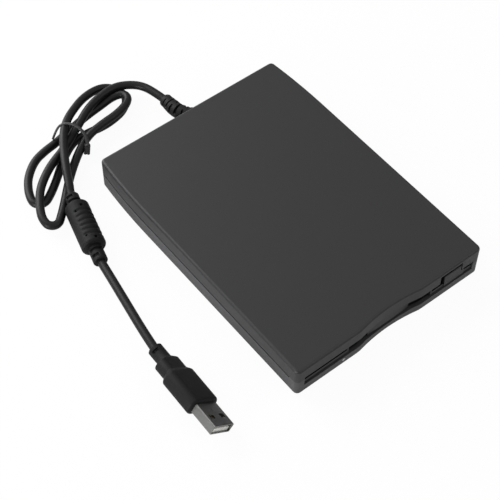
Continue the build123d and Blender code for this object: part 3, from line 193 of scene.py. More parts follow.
# The camera: where it stands and the point on the table that it looks at, in millimetres, its
# turn about its own axis in degrees and its lens
CAMERA_AT = (-248.41, -283.82, 494.32)
CAMERA_AIM = (-19.95, -0.5, 0.0)
CAMERA_ROLL = 0.6
CAMERA_LENS = 99.48

# The soft round lights, in metres: name, place, the point it faces, diameter, and the setting
# that holds its power
LIGHTS = [
    ("key light", (-0.25, 0.85, 0.48), (0, 0, 0), 0.9, "key_power"),
    ("left light", (-0.9, -0.12, 0.16), (-0.05, 0, 0), 0.3, "fill_power"),
    ("front light", (0.45, -0.75, 0.8), (0, 0, 0), 0.5, "front_power"),
]


# ---------------------------------------------------------------- small helpers


def linear(code):
    """An sRGB hex colour as linear red, green and blue."""
    parts = [int(code[i : i + 2], 16) / 255 for i in (0, 2, 4)]
    return tuple(p / 12.92 if p <= 0.04045 else ((p + 0.055) / 1.055) ** 2.4 for p in parts)


def metres(points):
    """Points given in millimetres, as vectors in metres."""
    return [Vector(p) * MM for p in points]


def new_object(name, data):
    """An object made of some data, in the scene."""
    made = bpy.data.objects.new(name, data)
    bpy.context.scene.collection.objects.link(made)
    return made


def empty_tree(owner):
    """The node tree of a material or a world, with nothing in it yet."""
    owner.use_nodes = True
    owner.node_tree.nodes.clear()
    return owner.node_tree


def add_node(tree, kind, values=None, links=None, **settings):
    """Add one shader node: settings are its properties, values and links go to its inputs."""
    made = tree.nodes.new(kind)
    for key, value in settings.items():
        setattr(made, key, value)
    for key, value in (values or {}).items():
        made.inputs[key].default_value = value
    for key, (source, output) in (links or {}).items():
        tree.links.new(source.outputs[output], made.inputs[key])
    return made


def smooth_step(low, high, value):
    """0 below low, 1 above high, and a soft S between them."""
    t = min(1.0, max(0.0, (value - low) / (high - low)))
    return t * t * (3 - 2 * t)


def skin(name, rings, smooth_angle=35.0):
    """A closed mesh through rings of points that all have the same count."""
    count = len(rings[0])
    points = [p for ring in rings for p in ring]
    faces = []
    for row in range(len(rings) - 1):
        start, after = row * count, (row + 1) * count
        for i in range(count):
            j = (i + 1) % count
            faces.append((start + i, start + j, after + j, after + i))
    for row, order in ((0, -1), (len(rings) - 1, 1)):
        hub = len(points)
        points.append(sum(rings[row], Vector()) / count)
        for i in range(count):
            pair = (row * count + i, row * count + (i + 1) % count)
            faces.append((hub, *pair[::order]))
    mesh = bpy.data.meshes.new(name)
    mesh.from_pydata(points, [], faces)
    mesh.validate()
    mesh.shade_smooth()
    mesh.set_sharp_from_angle(angle=radians(smooth_angle))
    return new_object(name, mesh)


def add_spline(data, route, thick=1.0):
    """A smooth strand whose control points are the route, thick times the curve's own radius."""
    spline = data.splines.new("NURBS")
    spline.points.add(len(route) - 1)
    for point, place in zip(spline.points, route):
        point.co = (*place, 1.0)
        point.radius = thick
    spline.order_u = 3
    spline.use_endpoint_u = True
    return spline


def nurbs_curve(name, route, radius):
    """A round smooth curve along a route in metres."""
    data = bpy.data.curves.new(name, "CURVE")
    data.dimensions = "3D"
    data.bevel_depth = radius
    data.bevel_resolution = 6
    data.use_fill_caps = True
    add_spline(data, route).resolution_u = 10
    return new_object(name, data)


def line_through(route):
    """The points of the smooth line that a route gives, from a curve with no bevel."""
    guide = nurbs_curve("guide", route, 0.0)
    graph = bpy.context.evaluated_depsgraph_get()
    mesh = bpy.data.meshes.new_from_object(guide.evaluated_get(graph))
    points = [vertex.co.copy() for vertex in mesh.vertices]
    bpy.data.meshes.remove(mesh)
    bpy.data.curves.remove(guide.data)
    return points


def line_length(points):
    """How long a line of points is."""
    return sum((there - here).length for here, there in zip(points, points[1:]))


def along(points, distance):
    """The point that far along a line of points, and the line's direction there."""
    left = distance
    for here, there in zip(points, points[1:]):
        run = (there - here).length
        if left <= run or there is points[-1]:
            heading = (there - here).normalized()
            return here + heading * left, heading
        left -= run
    raise ValueError("a line needs two points")


def cross_axes(heading):
    """Two directions square to a heading: one level, one upward."""
    level = Vector((0, 0, 1)).cross(heading).normalized()
    return level, heading.cross(level).normalized()


def steps(start, end, pitch):
    """Even stations from start to end, about pitch apart."""
    count = max(1, round((end - start) / pitch))
    return [start + (end - start) * i / count for i in range(count + 1)]


def ring_of(place, level, upward, count, radius_at):
    """Points round a centre, each as far out in millimetres as radius_at says."""
    ring = []
    for i in range(count):
        turn = 2 * pi * i / count
        reach = radius_at(turn) * MM
        ring.append(place + level * (cos(turn) * reach) + upward * (sin(turn) * reach))
    return ring


def rounded_box_ring(place, wide_axis, thick_axis, wide, thick, corner, count=96):
    """Points round a rounded rectangle, evenly spaced by angle on its four corner arcs."""
    ring = []
    per_corner = count // 4
    for quarter, (side_x, side_y) in enumerate(((1, 1), (-1, 1), (-1, -1), (1, -1))):
        centre = (side_x * (wide / 2 - corner), side_y * (thick / 2 - corner))
        for i in range(per_corner):
            turn = (quarter + i / (per_corner - 1)) * pi / 2
            x = centre[0] + corner * cos(turn)
            y = centre[1] + corner * sin(turn)
            ring.append(place + wide_axis * (x * MM) + thick_axis * (y * MM))
    return ring


# ---------------------------------------------------------------- materials


def mapped(tree, size_mm, stretch=(1, 1, 1)):
    """Object coordinates scaled so that one pattern unit is size_mm long, over stretch."""
    place = add_node(tree, "ShaderNodeTexCoord")
    scale = [k / (size_mm * MM) for k in stretch]
    return add_node(
        tree, "ShaderNodeMapping", values={"Scale": scale}, links={"Vector": (place, "Object")}
    )


def finish_material(
    name,
    colour,
    roughness,
    metallic=0.0,
    grain_mm=0.6,
    grain_depth_mm=0.02,
    stretch=(1, 1, 1),
    colour_shift=0.12,
    rough_shift=0.08,
    patch_mm=18.0,
    sockets=None,
):
    """A finish with fine grain in its bump, and slow patches in its colour and gloss."""
    material = bpy.data.materials.get(name)
    if material:
        return material
    material = bpy.data.materials.new(name)
    tree = empty_tree(material)
    fine = mapped(tree, grain_mm, stretch)
    slow = mapped(tree, patch_mm, stretch)
    grain = add_node(
        tree,
        "ShaderNodeTexNoise",
        values={"Scale": 1.0, "Detail": 3.0, "Roughness": 0.6},
        links={"Vector": (fine, "Vector")},
    )
    patch = add_node(
        tree,
        "ShaderNodeTexNoise",
        values={"Scale": 1.0, "Detail": 2.0, "Roughness": 0.5},
        links={"Vector": (slow, "Vector")},
    )
    grain_share = 0.45
    both = add_node(
        tree,
        "ShaderNodeMix",
        values={0: grain_share},
        links={2: (patch, "Fac"), 3: (grain, "Fac")},
        data_type="FLOAT",
    )
    darker = [c * (1 - colour_shift) for c in colour]
    lighter = [min(1.0, c * (1 + colour_shift)) for c in colour]
    tint = add_node(
        tree,
        "ShaderNodeMix",
        values={6: (*darker, 1), 7: (*lighter, 1)},
        links={0: (both, 0)},
        data_type="RGBA",
    )
    gloss = add_node(
        tree,
        "ShaderNodeMapRange",
        values={"To Min": roughness - rough_shift, "To Max": min(1.0, roughness + rough_shift)},
        links={"Value": (both, 0)},
    )
    bump = add_node(
        tree,
        "ShaderNodeBump",
        values={"Strength": 1.0, "Distance": grain_depth_mm * MM},
        links={"Height": (grain, "Fac")},
    )
    shader = add_node(
        tree,
        "ShaderNodeBsdfPrincipled",
        values={"Metallic": metallic, **(sockets or {})},
        links={
            "Base Color": (tint, 2),
            "Roughness": (gloss, 0),
            "Normal": (bump, "Normal"),
        },
    )
    add_node(tree, "ShaderNodeOutputMaterial", links={"Surface": (shader, "BSDF")})
    return material


def cover_abs(settings):
    # Spark-eroded matt ABS: a fine even sparkle of grain that breaks up any reflection.
    # The real grain is near 0.1 mm and is drawn at the settings' size to show at all.
    return finish_material(
        "matt ABS, spark eroded",
        settings.cover_colour,
        0.5,
        grain_mm=settings.grain_size / MM,
        grain_depth_mm=settings.grain_depth / MM,
        colour_shift=0.08,
        rough_shift=0.02,
        sockets={"IOR": 1.52, "Specular IOR Level": 0.4},
    )


def tray_abs(settings):
    # The same ABS from another mould, a shade lighter and with a slightly shallower grain
    return finish_material(
        "matt ABS, moulded tray",
        settings.tray_colour,
        0.46,
        grain_mm=settings.grain_size / MM,
        grain_depth_mm=settings.grain_depth / MM * 0.8,
        colour_shift=0.08,
        rough_shift=0.02,
        sockets={"IOR": 1.52, "Specular IOR Level": 0.4},
    )


def flap_abs_with_painted_shade(settings):
    # Plain moulded ABS: smoother than the covers, with a soft sheen. Its colour is set darker
    # than the covers' as painted shade, standing in for the shade in the slot behind the front
    # wall; the button shares it.
    return finish_material(
        "satin ABS, moulded", settings.flap_colour_darkened_for_shade, 0.42, grain_mm=1.2, grain_depth_mm=0.01,
        sockets={"IOR": 1.52, "Specular IOR Level": 0.27},
    )


def soft_pvc(settings):
    # Extruded flexible PVC: smooth and satin, with faint dull patches from handling
    return finish_material(
        "flexible PVC, extruded", settings.cord_colour, 0.42, grain_mm=1.6, grain_depth_mm=0.03,
        colour_shift=0.15, rough_shift=0.10, patch_mm=9.0,
        sockets={"IOR": 1.53, "Specular IOR Level": 0.17},
    )


def moulded_pvc(settings):
    # Flexible PVC moulded over the cord: a duller bloom and a fine mould texture
    return finish_material(
        "flexible PVC, overmoulded", settings.mould_colour, 0.6, grain_mm=0.9,
        grain_depth_mm=0.04, colour_shift=0.15, patch_mm=6.0,
        sockets={"IOR": 1.53, "Specular IOR Level": 0.15},
    )


def dress(nodes, material):
    """Put one material on CAD nodes, over whatever they came with."""
    for name in nodes:
        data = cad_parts[name].data
        data.materials.clear()
        data.materials.append(material)


def dress_in(nodes, name, colour, roughness, **looks):
    """Make a finish and put it on the CAD nodes that have it."""
    material = finish_material(name, colour, roughness, **looks)
    dress(nodes, material)
    return material


def put_on(piece, material, body):
    """Finish a new piece and let it ride on its body."""
    piece.data.materials.append(material)
    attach(piece, body)


# ---------------------------------------------------------------- settings


def colour_setting(name, description, code):
    """A colour that the user can change; its default is an sRGB hex code."""
    return bpy.props.FloatVectorProperty(
        name=name,
        description=description,
        subtype="COLOR",
        size=3,
        min=0.0,
        max=1.0,
        default=linear(code),
    )


def length_setting(name, description, default_mm):
    """A length that the user can change; its default is in millimetres."""
    return bpy.props.FloatProperty(
        name=name,
        description=description,
        subtype="DISTANCE",
        unit="LENGTH",
        min=0.0,
        precision=5,
        default=default_mm * MM,
    )


class CaseSettings(bpy.types.PropertyGroup):
    """Colours and grain of the case."""

    cover_colour: colour_setting("Cover", "Colour of the top cover", "18181A")
    tray_colour: colour_setting("Tray", "Colour of the bottom cover", "333335")
    # painted shade: the flap's colour is darker than the covers' to stand in for the shade in the
    # slot's recess, and the button shares it
    flap_colour_darkened_for_shade: colour_setting("Flap", "Colour of the dust flap and the button", "0F0F10")
    pipe_colour: colour_setting("Light pipe", "Colour of the unlit light pipe", "C9CCC6")
    feet_colour: colour_setting("Feet", "Colour of the rubber feet", "1F1F20")
    grain_size: length_setting("Grain size", "Width of one grain of the covers", 0.75)
    grain_depth: length_setting("Grain depth", "Height of the covers' grain", 0.05)


class CordSettings(bpy.types.PropertyGroup):
    """Colours and sizes of the cord and what is moulded on it."""

    cord_colour: colour_setting("Cord", "Colour of the cord's jacket", "141415")
    mould_colour: colour_setting("Overmould", "Colour of the moulded pieces", "0F0F10")
    tie_colour: colour_setting("Tie", "Colour of the tie's coating", "1E1E1F")
    cord_diameter: length_setting("Cord diameter", "Outer diameter of the jacket", 4.0)
    tie_diameter: length_setting("Tie diameter", "Thickness of the tie's wire", 1.1)
    relief_radius: length_setting("Relief radius", "Radius of the strain relief's ribs", 3.65)
    bead_radius: length_setting("Bead radius", "Outer radius of the bead", 5.65)
    bead_length: length_setting("Bead length", "Length of the bead without its reliefs", 25.3)
    groove_depth: length_setting("Groove depth", "Depth of the bead's shallow grooves", 0.42)


class PlugSettings(bpy.types.PropertyGroup):
    """Colours and sizes of the plug."""

    shell_colour: colour_setting("Shell", "Colour of the plated shell", "858684")
    tongue_colour: colour_setting("Tongue", "Colour of the insulator", "EFEEE9")
    grip_width: length_setting("Grip width", "Width of the grip", 16.0)
    grip_thickness: length_setting("Grip thickness", "Thickness of the grip", 8.2)
    collar_width: length_setting("Collar width", "Width of the step behind the grip", 12.4)
    collar_thickness: length_setting("Collar thickness", "Thickness of that step", 7.0)


class StageSettings(bpy.types.PropertyGroup):
    """Light and background."""

    floor_colour: colour_setting("Floor", "Colour of the floor", "F4F4F4")
    key_power: bpy.props.FloatProperty(
        name="Key power", description="Power of the main soft light", unit="POWER", default=12.0
    )
    fill_power: bpy.props.FloatProperty(
        name="Fill power", description="Power of the soft light on the left", unit="POWER",
        default=5.5,
    )
    front_power: bpy.props.FloatProperty(
        name="Front power", description="Power of the weak light at the front right",
        unit="POWER", default=1.8,
    )
    sky_strength: bpy.props.FloatProperty(
        name="Sky", description="Strength of the even light from all round", default=0.35
    )


# ---------------------------------------------------------------- floor, sky, lights and camera


def seen_share(tree, values=None, links=None):
    """1 for rays straight from the camera; for mirrored ones, what values or links put in."""
    path = add_node(tree, "ShaderNodeLightPath")
    mirrored = add_node(
        tree,
        "ShaderNodeMath",
        operation="MAXIMUM",
        links={0: (path, "Is Glossy Ray"), 1: (path, "Is Transmission Ray")},
    )
    share = add_node(
        tree,
        "ShaderNodeMath",
        operation="MULTIPLY",
        values=values,
        links={0: (mirrored, 0), **(links or {})},
    )
    return add_node(
        tree,
        "ShaderNodeMath",
        operation="MAXIMUM",
        links={0: (path, "Is Camera Ray"), 1: (share, 0)},
    )


class DRIVE_OT_stage(bpy.types.Operator):
    """Floor, lights, sky and camera"""

    bl_idname = "drive.stage"
    bl_label = "Stage"

    # how much of the floor's own white shows: in a mirrored ray, and at most
    mirrored_glow = 0.3
    greatest_glow = 0.95
    # how far up, from 0 level to 1 overhead, the mirrored sky is still dim and fully white
    dim_height = 0.1
    white_height = 0.85
    # the floor's half side in metres
    floor_half = 1.6

    def execute(self, context):
        settings = context.scene.drive_stage
        scene = context.scene
        scene.view_settings.view_transform = "Standard"
        self.floor(settings)
        self.sky(scene, settings)
        for name, place, aim, diameter, power in LIGHTS:
            self.soft_light(name, place, aim, diameter, getattr(settings, power))
        self.camera(scene)
        return {"FINISHED"}

    def camera(self, scene):
        """The camera at its fixed place."""
        data = bpy.data.cameras.new("camera")
        data.lens = CAMERA_LENS
        data.clip_start = 10 * MM
        camera = new_object("camera", data)
        at, aim = metres([CAMERA_AT, CAMERA_AIM])
        facing = (aim - at).to_track_quat("-Z", "Y")
        camera.rotation_mode = "QUATERNION"
        camera.rotation_quaternion = facing @ Quaternion((0, 0, 1), radians(CAMERA_ROLL))
        camera.location = at
        scene.camera = camera

    def floor(self, settings):
        """A wide white floor just below the feet."""
        half = self.floor_half
        mesh = bpy.data.meshes.new("floor")
        corners = [(-half, -half, 0), (half, -half, 0), (half, half, 0), (-half, half, 0)]
        mesh.from_pydata([Vector(c) for c in corners], [], [(0, 1, 2, 3)])
        floor = new_object("floor", mesh)
        # a hair lower than the feet, so that no face of theirs lies in the floor's own plane
        floor.location.z = -0.02 * MM
        # Matt paper sweep: the camera sees nearly all of it as one even white, with a small share
        # of real light that carries the soft shadow, and a mirrored ray sees less of that white
        material = bpy.data.materials.new("white paper sweep")
        tree = empty_tree(material)
        matt = add_node(
            tree, "ShaderNodeBsdfDiffuse", values={"Color": (*settings.floor_colour, 1)}
        )
        glow = add_node(
            tree, "ShaderNodeEmission", values={"Color": (1, 1, 1, 1), "Strength": 1.0}
        )
        seen = seen_share(tree, values={1: self.mirrored_glow})
        share = add_node(
            tree,
            "ShaderNodeMath",
            operation="MINIMUM",
            values={1: self.greatest_glow},
            links={0: (seen, 0)},
        )
        mixed = add_node(
            tree,
            "ShaderNodeMixShader",
            links={"Fac": (share, 0), 1: (matt, 0), 2: (glow, 0)},
        )
        add_node(tree, "ShaderNodeOutputMaterial", links={"Surface": (mixed, 0)})
        mesh.materials.append(material)

    def sky(self, scene, settings):
        """Even light from all round."""
        world = bpy.data.worlds.new("even white sky")
        tree = empty_tree(world)
        # Mirrored rays see a sky that is white overhead and dims towards the horizon
        place = add_node(tree, "ShaderNodeTexCoord")
        parts = add_node(
            tree, "ShaderNodeSeparateXYZ", links={"Vector": (place, "Generated")}
        )
        height = add_node(
            tree,
            "ShaderNodeMapRange",
            values={"From Min": self.dim_height, "From Max": self.white_height},
            links={"Value": (parts, "Z")},
        )
        seen = seen_share(tree, links={1: (height, 0)})
        dim = add_node(
            tree,
            "ShaderNodeBackground",
            values={"Color": (1, 1, 1, 1), "Strength": settings.sky_strength},
        )
        white = add_node(
            tree, "ShaderNodeBackground", values={"Color": (1, 1, 1, 1), "Strength": 1.0}
        )
        mixed = add_node(
            tree,
            "ShaderNodeMixShader",
            links={"Fac": (seen, 0), 1: (dim, 0), 2: (white, 0)},
        )
        add_node(tree, "ShaderNodeOutputWorld", links={"Surface": (mixed, 0)})
        scene.world = world

    def soft_light(self, name, place, aim, diameter, power):
        """A round lamp that faces one point."""
        data = bpy.data.lights.new(name, "AREA")
        data.shape = "DISK"
        data.size = diameter
        data.energy = power
        light = new_object(name, data)
        light.location = place
        facing = Vector(aim) - Vector(place)
        light.rotation_mode = "QUATERNION"
        light.rotation_quaternion = facing.to_track_quat("-Z", "Y")


# ---------------------------------------------------------------- pieces


class DRIVE_OT_cord(bpy.types.Operator):
    """The cord, from the strain relief through the tied hank and the bead to the plug"""

    bl_idname = "drive.cord"
    bl_label = "Cord"

    def execute(self, context):
        settings = context.scene.drive_cord
        piece = nurbs_curve("cord", metres(CORD_ROUTE), settings.cord_diameter / 2)
        put_on(piece, soft_pvc(settings), "case")
        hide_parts("cord_lead", "cord_hank", "cord_to_bead", "cord_to_plug")
        length = line_length(line_through(metres(CORD_ROUTE)))
        return {"FINISHED"}


class DRIVE_OT_strain_relief(bpy.types.Operator):
    """The ribbed strain relief at the rear wall, slotted on two sides in turn"""

    bl_idname = "drive.strain_relief"
    bl_label = "Strain relief"

    # in millimetres: the plain base at the wall
    base = 3.2
    base_radius = 4.25
    base_rounding = 0.3
    base_lip = 0.25
    # the plain cap at the cord's end
    cap = 2.6
    cap_rounding = 0.5
    cap_lip = 0.3
    cap_thinner = 0.4
    # the slots between them, and how much wider each band is than the one before
    pitch = 2.9
    slot = 1.0
    slot_core = 2.35
    slot_clear = 0.4
    band_step = 0.2
    crisp = 0.05
    # the sine of the angle over which a slot's end walls rise
    slot_walls = (0.30, 0.42)
    ring_points = 72

    def execute(self, context):
        settings = context.scene.drive_cord
        line = line_through(metres(RELIEF_ROUTE))
        self.whole = line_length(line) / MM
        self.rib = settings.relief_radius / MM
        rings = []
        for station in self.stations():
            place, heading = along(line, station * MM)
            level, upward = cross_axes(heading)
            ring = ring_of(
                place, level, upward, self.ring_points, lambda turn: self.radius_at(station, turn)
            )
            rings.append(ring)
        piece = skin("strain_relief_sleeve", rings)
        put_on(piece, moulded_pvc(settings), "case")
        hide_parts("strain_relief")
        return {"FINISHED"}

    def stations(self):
        """Close together at the edges of each slot, so that they stay crisp."""
        marks = {0.0, self.base_rounding, self.base - self.base_rounding, self.base}
        marks.update((self.base + 2 * self.crisp, self.whole - self.cap_rounding, self.whole))
        place = self.whole - self.cap
        while place - self.slot > self.base + self.slot_clear:
            for edge in (place, place - self.slot):
                marks.update((edge - self.crisp, edge + self.crisp))
            place -= self.pitch
        return sorted(marks)

    def radius_at(self, station, turn):
        """The sleeve's radius at a station and a turn round it."""
        if station <= self.base:
            edge = min(station, self.base - station)
            rounded = 1 - smooth_step(0.0, self.base_rounding, edge)
            return self.base_radius - self.base_lip * rounded
        # slots are counted from the cap, and the bands get wider towards the case
        reach = self.whole - station - self.cap
        number = int(reach // self.pitch)
        outer = min(self.rib, self.rib - self.cap_thinner + self.band_step * (number + 1))
        outer -= self.cap_lip * smooth_step(self.whole - self.cap_rounding, self.whole, station)
        past_base = station > self.base + self.slot_clear
        if not (past_base and reach > 0.0 and reach % self.pitch < self.slot):
            return outer
        # a bridge is left on two sides, turned by a quarter from one slot to the next
        side = abs(sin(turn)) if number % 2 else abs(cos(turn))
        return outer - (outer - self.slot_core) * smooth_step(*self.slot_walls, side)


class DRIVE_OT_bead(bpy.types.Operator):
    """The moulded bead with shallow grooves, pin holes and a slotted relief at each end"""

    bl_idname = "drive.bead"
    bl_label = "Bead"

    # the reliefs at its ends, in millimetres
    upper_relief = 6.2
    lower_relief = 8.2
    relief_radius = 3.3
    relief_core = 2.45
    relief_bands = 5
    relief_rounding = 0.5
    relief_lip = 0.25
    # where the cuts start: as the sine above and below, and as the cosine from askew, in radians
    near_cut = 0.45
    far_cut = 0.8
    askew = 2.06
    # the sleeve: millimetres along it, and degrees round it between which the grooves fade
    end_round = 1.5
    middle = 13.6
    groove_pitch = 2.75
    groove_count = 6
    groove_half = 0.6
    groove_wave = 0.25
    groove_from = (-40, -28)
    groove_to = (106, 128)
    # the mould's parting line: degrees, and the height in millimetres
    seam_at = 158
    seam_half = 2.2
    seam_height = 0.10
    # a pin hole's depth as a share of its radius, and how far its wall slopes in and out
    pin_depth = 2.2
    pin_wall = (0.1, 0.12)
    station_pitch = 0.16
    ring_points = 168

    def execute(self, context):
        settings = context.scene.drive_cord
        start, heading = Vector(BEAD_START) * MM, Vector(BEAD_HEADING).normalized()
        level, upward = cross_axes(heading)
        self.radius = settings.bead_radius / MM
        self.length = settings.bead_length / MM
        self.groove = settings.groove_depth / MM
        far_end = self.length + self.lower_relief
        rings = []
        for station in steps(-self.upper_relief, far_end, self.station_pitch):
            place = start + heading * (station * MM)
            ring = ring_of(
                place, level, upward, self.ring_points, lambda turn: self.radius_at(station, turn)
            )
            rings.append(ring)
        piece = skin("bead", rings, 50.0)
        put_on(piece, moulded_pvc(settings), "case")
        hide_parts("ferrite_bead")
        return {"FINISHED"}

    def radius_at(self, station, turn):
        """The bead's radius at a station and a turn round it."""
        if station < 0:
            return self.relief(-station, self.upper_relief, turn)
        if station > self.length:
            return self.relief(station - self.length, self.lower_relief, turn)
        inset = min(station, self.length - station)
        radius = self.radius
        if inset < self.end_round:
            lean = 1 - inset / self.end_round
            radius -= self.end_round * (1 - max(0.0, 1 - lean * lean) ** 0.5)
        angle = (turn * 180 / pi + 180) % 360 - 180
        radius -= self.grooves(station, angle)
        radius -= self.pin_holes(station, angle)
        off = (angle - self.seam_at) / self.seam_half
        return radius + self.seam_height * exp(-(off**2))

    def relief(self, reach, whole, turn):
        """Short bands next to the bead, every second one cut in on two sides."""
        band = min(self.relief_bands - 1, int(reach / whole * self.relief_bands))
        if band % 2 == 0:
            rounded = smooth_step(whole - self.relief_rounding, whole, reach)
            return self.relief_radius - self.relief_lip * rounded
        # the band near the bead is cut wide above and below, the outer one narrow and askew
        if band == 1:
            side = abs(sin(turn)) - self.near_cut
        else:
            side = abs(cos(turn - self.askew)) - self.far_cut
        cut = (self.relief_radius - self.relief_core) * smooth_step(0.0, 0.1, side)
        return self.relief_radius - cut

    def grooves(self, station, angle):
        """Shallow valleys across the upper right of the sleeve."""
        shown = smooth_step(*self.groove_from, angle) * (1 - smooth_step(*self.groove_to, angle))
        if shown == 0.0:
            return 0.0
        first = self.middle - self.groove_pitch * (self.groove_count - 1) / 2
        depth = 0.0
        for number in range(self.groove_count):
            # each valley waves a little on its way round
            wave = self.groove_wave * sin(radians(3.1 * angle) + number)
            off = station - first - number * self.groove_pitch - wave
            depth = max(depth, exp(-((off / self.groove_half) ** 2)))
        return self.groove * depth * shown

    def pin_holes(self, station, angle):
        """Blind holes where the mould's pins held the core."""
        deep = 0.0
        for place, turn, wide in BEAD_PINS:
            across = radians(angle - turn) * self.radius
            reach = ((station - self.middle - place) ** 2 + across**2) ** 0.5
            inner, outer = wide - self.pin_wall[0], wide + self.pin_wall[1]
            deep = max(deep, self.pin_depth * wide * (1 - smooth_step(inner, outer, reach)))
        return deep


class DRIVE_OT_tie(bpy.types.Operator):
    """The twist tie: one wire arched over the bundle and its two ends twisted together"""

    bl_idname = "drive.tie"
    bl_label = "Twist tie"

    # shares of the wire's own thickness: from its last point back, and in the twist
    bunched = (1.7, 1.7, 1.5, 1.2)
    twist_thick = 1.35
    # each strand's distance from the twist's middle, as a share of the wire's radius
    twist_apart = 1.4
    twist_turns = 2.5

    def execute(self, context):
        settings = context.scene.drive_cord
        radius = settings.tie_diameter / 2
        piece = nurbs_curve("tie", metres(TIE_ROUTE), radius)
        # the coating bunches up towards the twist
        for point, thick in zip(reversed(piece.data.splines[0].points), self.bunched):
            point.radius = thick
        top, foot = metres([TIE_ROUTE[-1], TIE_FOOT])
        level, upward = cross_axes((foot - top).normalized())
        for start in (0.0, pi):
            strand = []
            for part in steps(0.0, 1.0, 0.05):
                turn = start + part * self.twist_turns * 2 * pi
                out = level * cos(turn) + upward * sin(turn)
                strand.append(top.lerp(foot, part) + out * radius * self.twist_apart)
            add_spline(piece.data, strand, self.twist_thick)
        # Thin plastic over annealed wire: dull, with paler and darker patches from handling
        coating = finish_material(
            "tie wire, plastic coated", settings.tie_colour, 0.55, grain_mm=1.2,
            grain_depth_mm=0.03, colour_shift=0.25, patch_mm=3.0,
        )
        put_on(piece, coating, "case")
        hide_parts("twist_tie")
        return {"FINISHED"}


class DRIVE_OT_plug(bpy.types.Operator):
    """The plug: slotted neck, stepped collar and soft-shouldered grip round the plated shell"""

    bl_idname = "drive.plug"
    bl_label = "Plug"

    # lengths along the plug and radii, in millimetres
    neck = 7.2
    neck_radius = 3.3
    neck_end_radius = 3.0
    neck_rounding = 0.3
    collar_shoulder = 1.7
    collar = 5.6
    collar_corner = 3.0
    grip_shoulder = 2.6
    grip = 17.4
    grip_corner = 3.3
    edge = 1.3
    # the neck's slots: from and to, depth as a share of the neck's radius, direction in degrees
    # from the wide axis, and the cosines between which their end walls rise
    slot = (1.8, 3.2)
    slot_depth = 0.27
    slot_turn = 30.0
    slot_walls = (0.84, 0.92)
    crisp = 0.05

    def execute(self, context):
        settings = context.scene.drive_plug
        start, heading = Vector(PLUG_START) * MM, Vector(PLUG_HEADING).normalized()
        level = Vector((0, 0, 1)).cross(heading)
        roll = radians(PLUG_ROLL)
        wide_axis = level * cos(roll) - Vector((0, 0, 1)) * sin(roll)
        thick_axis = heading.cross(wide_axis)
        lean = radians(self.slot_turn)
        facing = thick_axis * sin(lean) - wide_axis * cos(lean)
        rings = []
        for station, wide, thick, corner in self.sections(settings):
            place = start + heading * (station * MM)
            ring = rounded_box_ring(place, wide_axis, thick_axis, wide, thick, corner)
            if self.slot[0] < station < self.slot[1]:
                ring = self.dented(ring, place, facing)
            rings.append(ring)
        piece = skin("plug_overmould", rings, 40.0)
        put_on(piece, moulded_pvc(context.scene.drive_cord), "case")
        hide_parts("plug_grip")
        self.metal(settings)
        return {"FINISHED"}

    def dented(self, ring, place, facing):
        """The ring with its points pushed in on the two sides along one direction."""
        made = []
        for point in ring:
            out = point - place
            share = smooth_step(*self.slot_walls, abs(out.normalized().dot(facing)))
            made.append(place + out * (1 - self.slot_depth * share))
        return made

    def sections(self, settings):
        """Station, width, thickness and corner radius, all in millimetres, from neck to face."""
        neck_end = self.round_section(self.neck_end_radius)
        round_neck = self.round_section(self.neck_radius)
        collar = (settings.collar_width / MM, settings.collar_thickness / MM, self.collar_corner)
        grip = (settings.grip_width / MM, settings.grip_thickness / MM, self.grip_corner)
        made = [(0.0, *neck_end), (self.neck_rounding, *round_neck)]
        for edge in self.slot:
            made += [(edge - self.crisp, *round_neck), (edge + self.crisp, *round_neck)]
        collar_from = self.neck + self.collar_shoulder
        made += self.shoulder(self.neck, collar_from, round_neck, collar)
        collar_to = collar_from + self.collar
        grip_from = collar_to + self.grip_shoulder
        made += self.shoulder(collar_to, grip_from, collar, grip)
        face = grip_from + self.grip
        made.append((face - self.edge, *grip))
        for part in steps(0.2, 1.0, 0.2):
            inset = self.edge * (1 - (1 - part * part) ** 0.5)
            size = (grip[0] - 2 * inset, grip[1] - 2 * inset, grip[2] - inset)
            made.append((face - self.edge * (1 - part), *size))
        return made

    def round_section(self, radius):
        """A round section, as width, thickness and corner radius."""
        return (2 * radius, 2 * radius, radius)

    def shoulder(self, start, end, small, large):
        """A soft S from one section to the next."""
        made = []
        for part in steps(0.0, 1.0, 0.1):
            share = smooth_step(0.0, 1.0, part)
            size = [a + (b - a) * share for a, b in zip(small, large)]
            made.append((start + (end - start) * part, *size))
        return made

    def metal(self, settings):
        # Nickel on drawn brass: a satin-bright skin with fine draw lines along the shell
        dress_in(
            ["plug_shell"],
            "nickel plated shell, drawn", settings.shell_colour, 0.3, metallic=1.0,
            grain_mm=0.8, grain_depth_mm=0.004, stretch=(3, 0.4, 3), colour_shift=0.06,
            rough_shift=0.05, patch_mm=7.0,
        )
        # Glass-filled PBT: milky, dull, slightly mottled
        dress_in(
            ["plug_tongue"],
            "PBT insulator, moulded", settings.tongue_colour, 0.5, grain_mm=0.8,
            grain_depth_mm=0.01, colour_shift=0.05,
        )
        # Gold flash over nickel: warm and smooth
        dress_in(
            ["plug_contacts"],
            "gold flash contacts", linear("D8B25C"), 0.28, metallic=1.0, grain_mm=0.5,
            grain_depth_mm=0.003, colour_shift=0.08,
        )


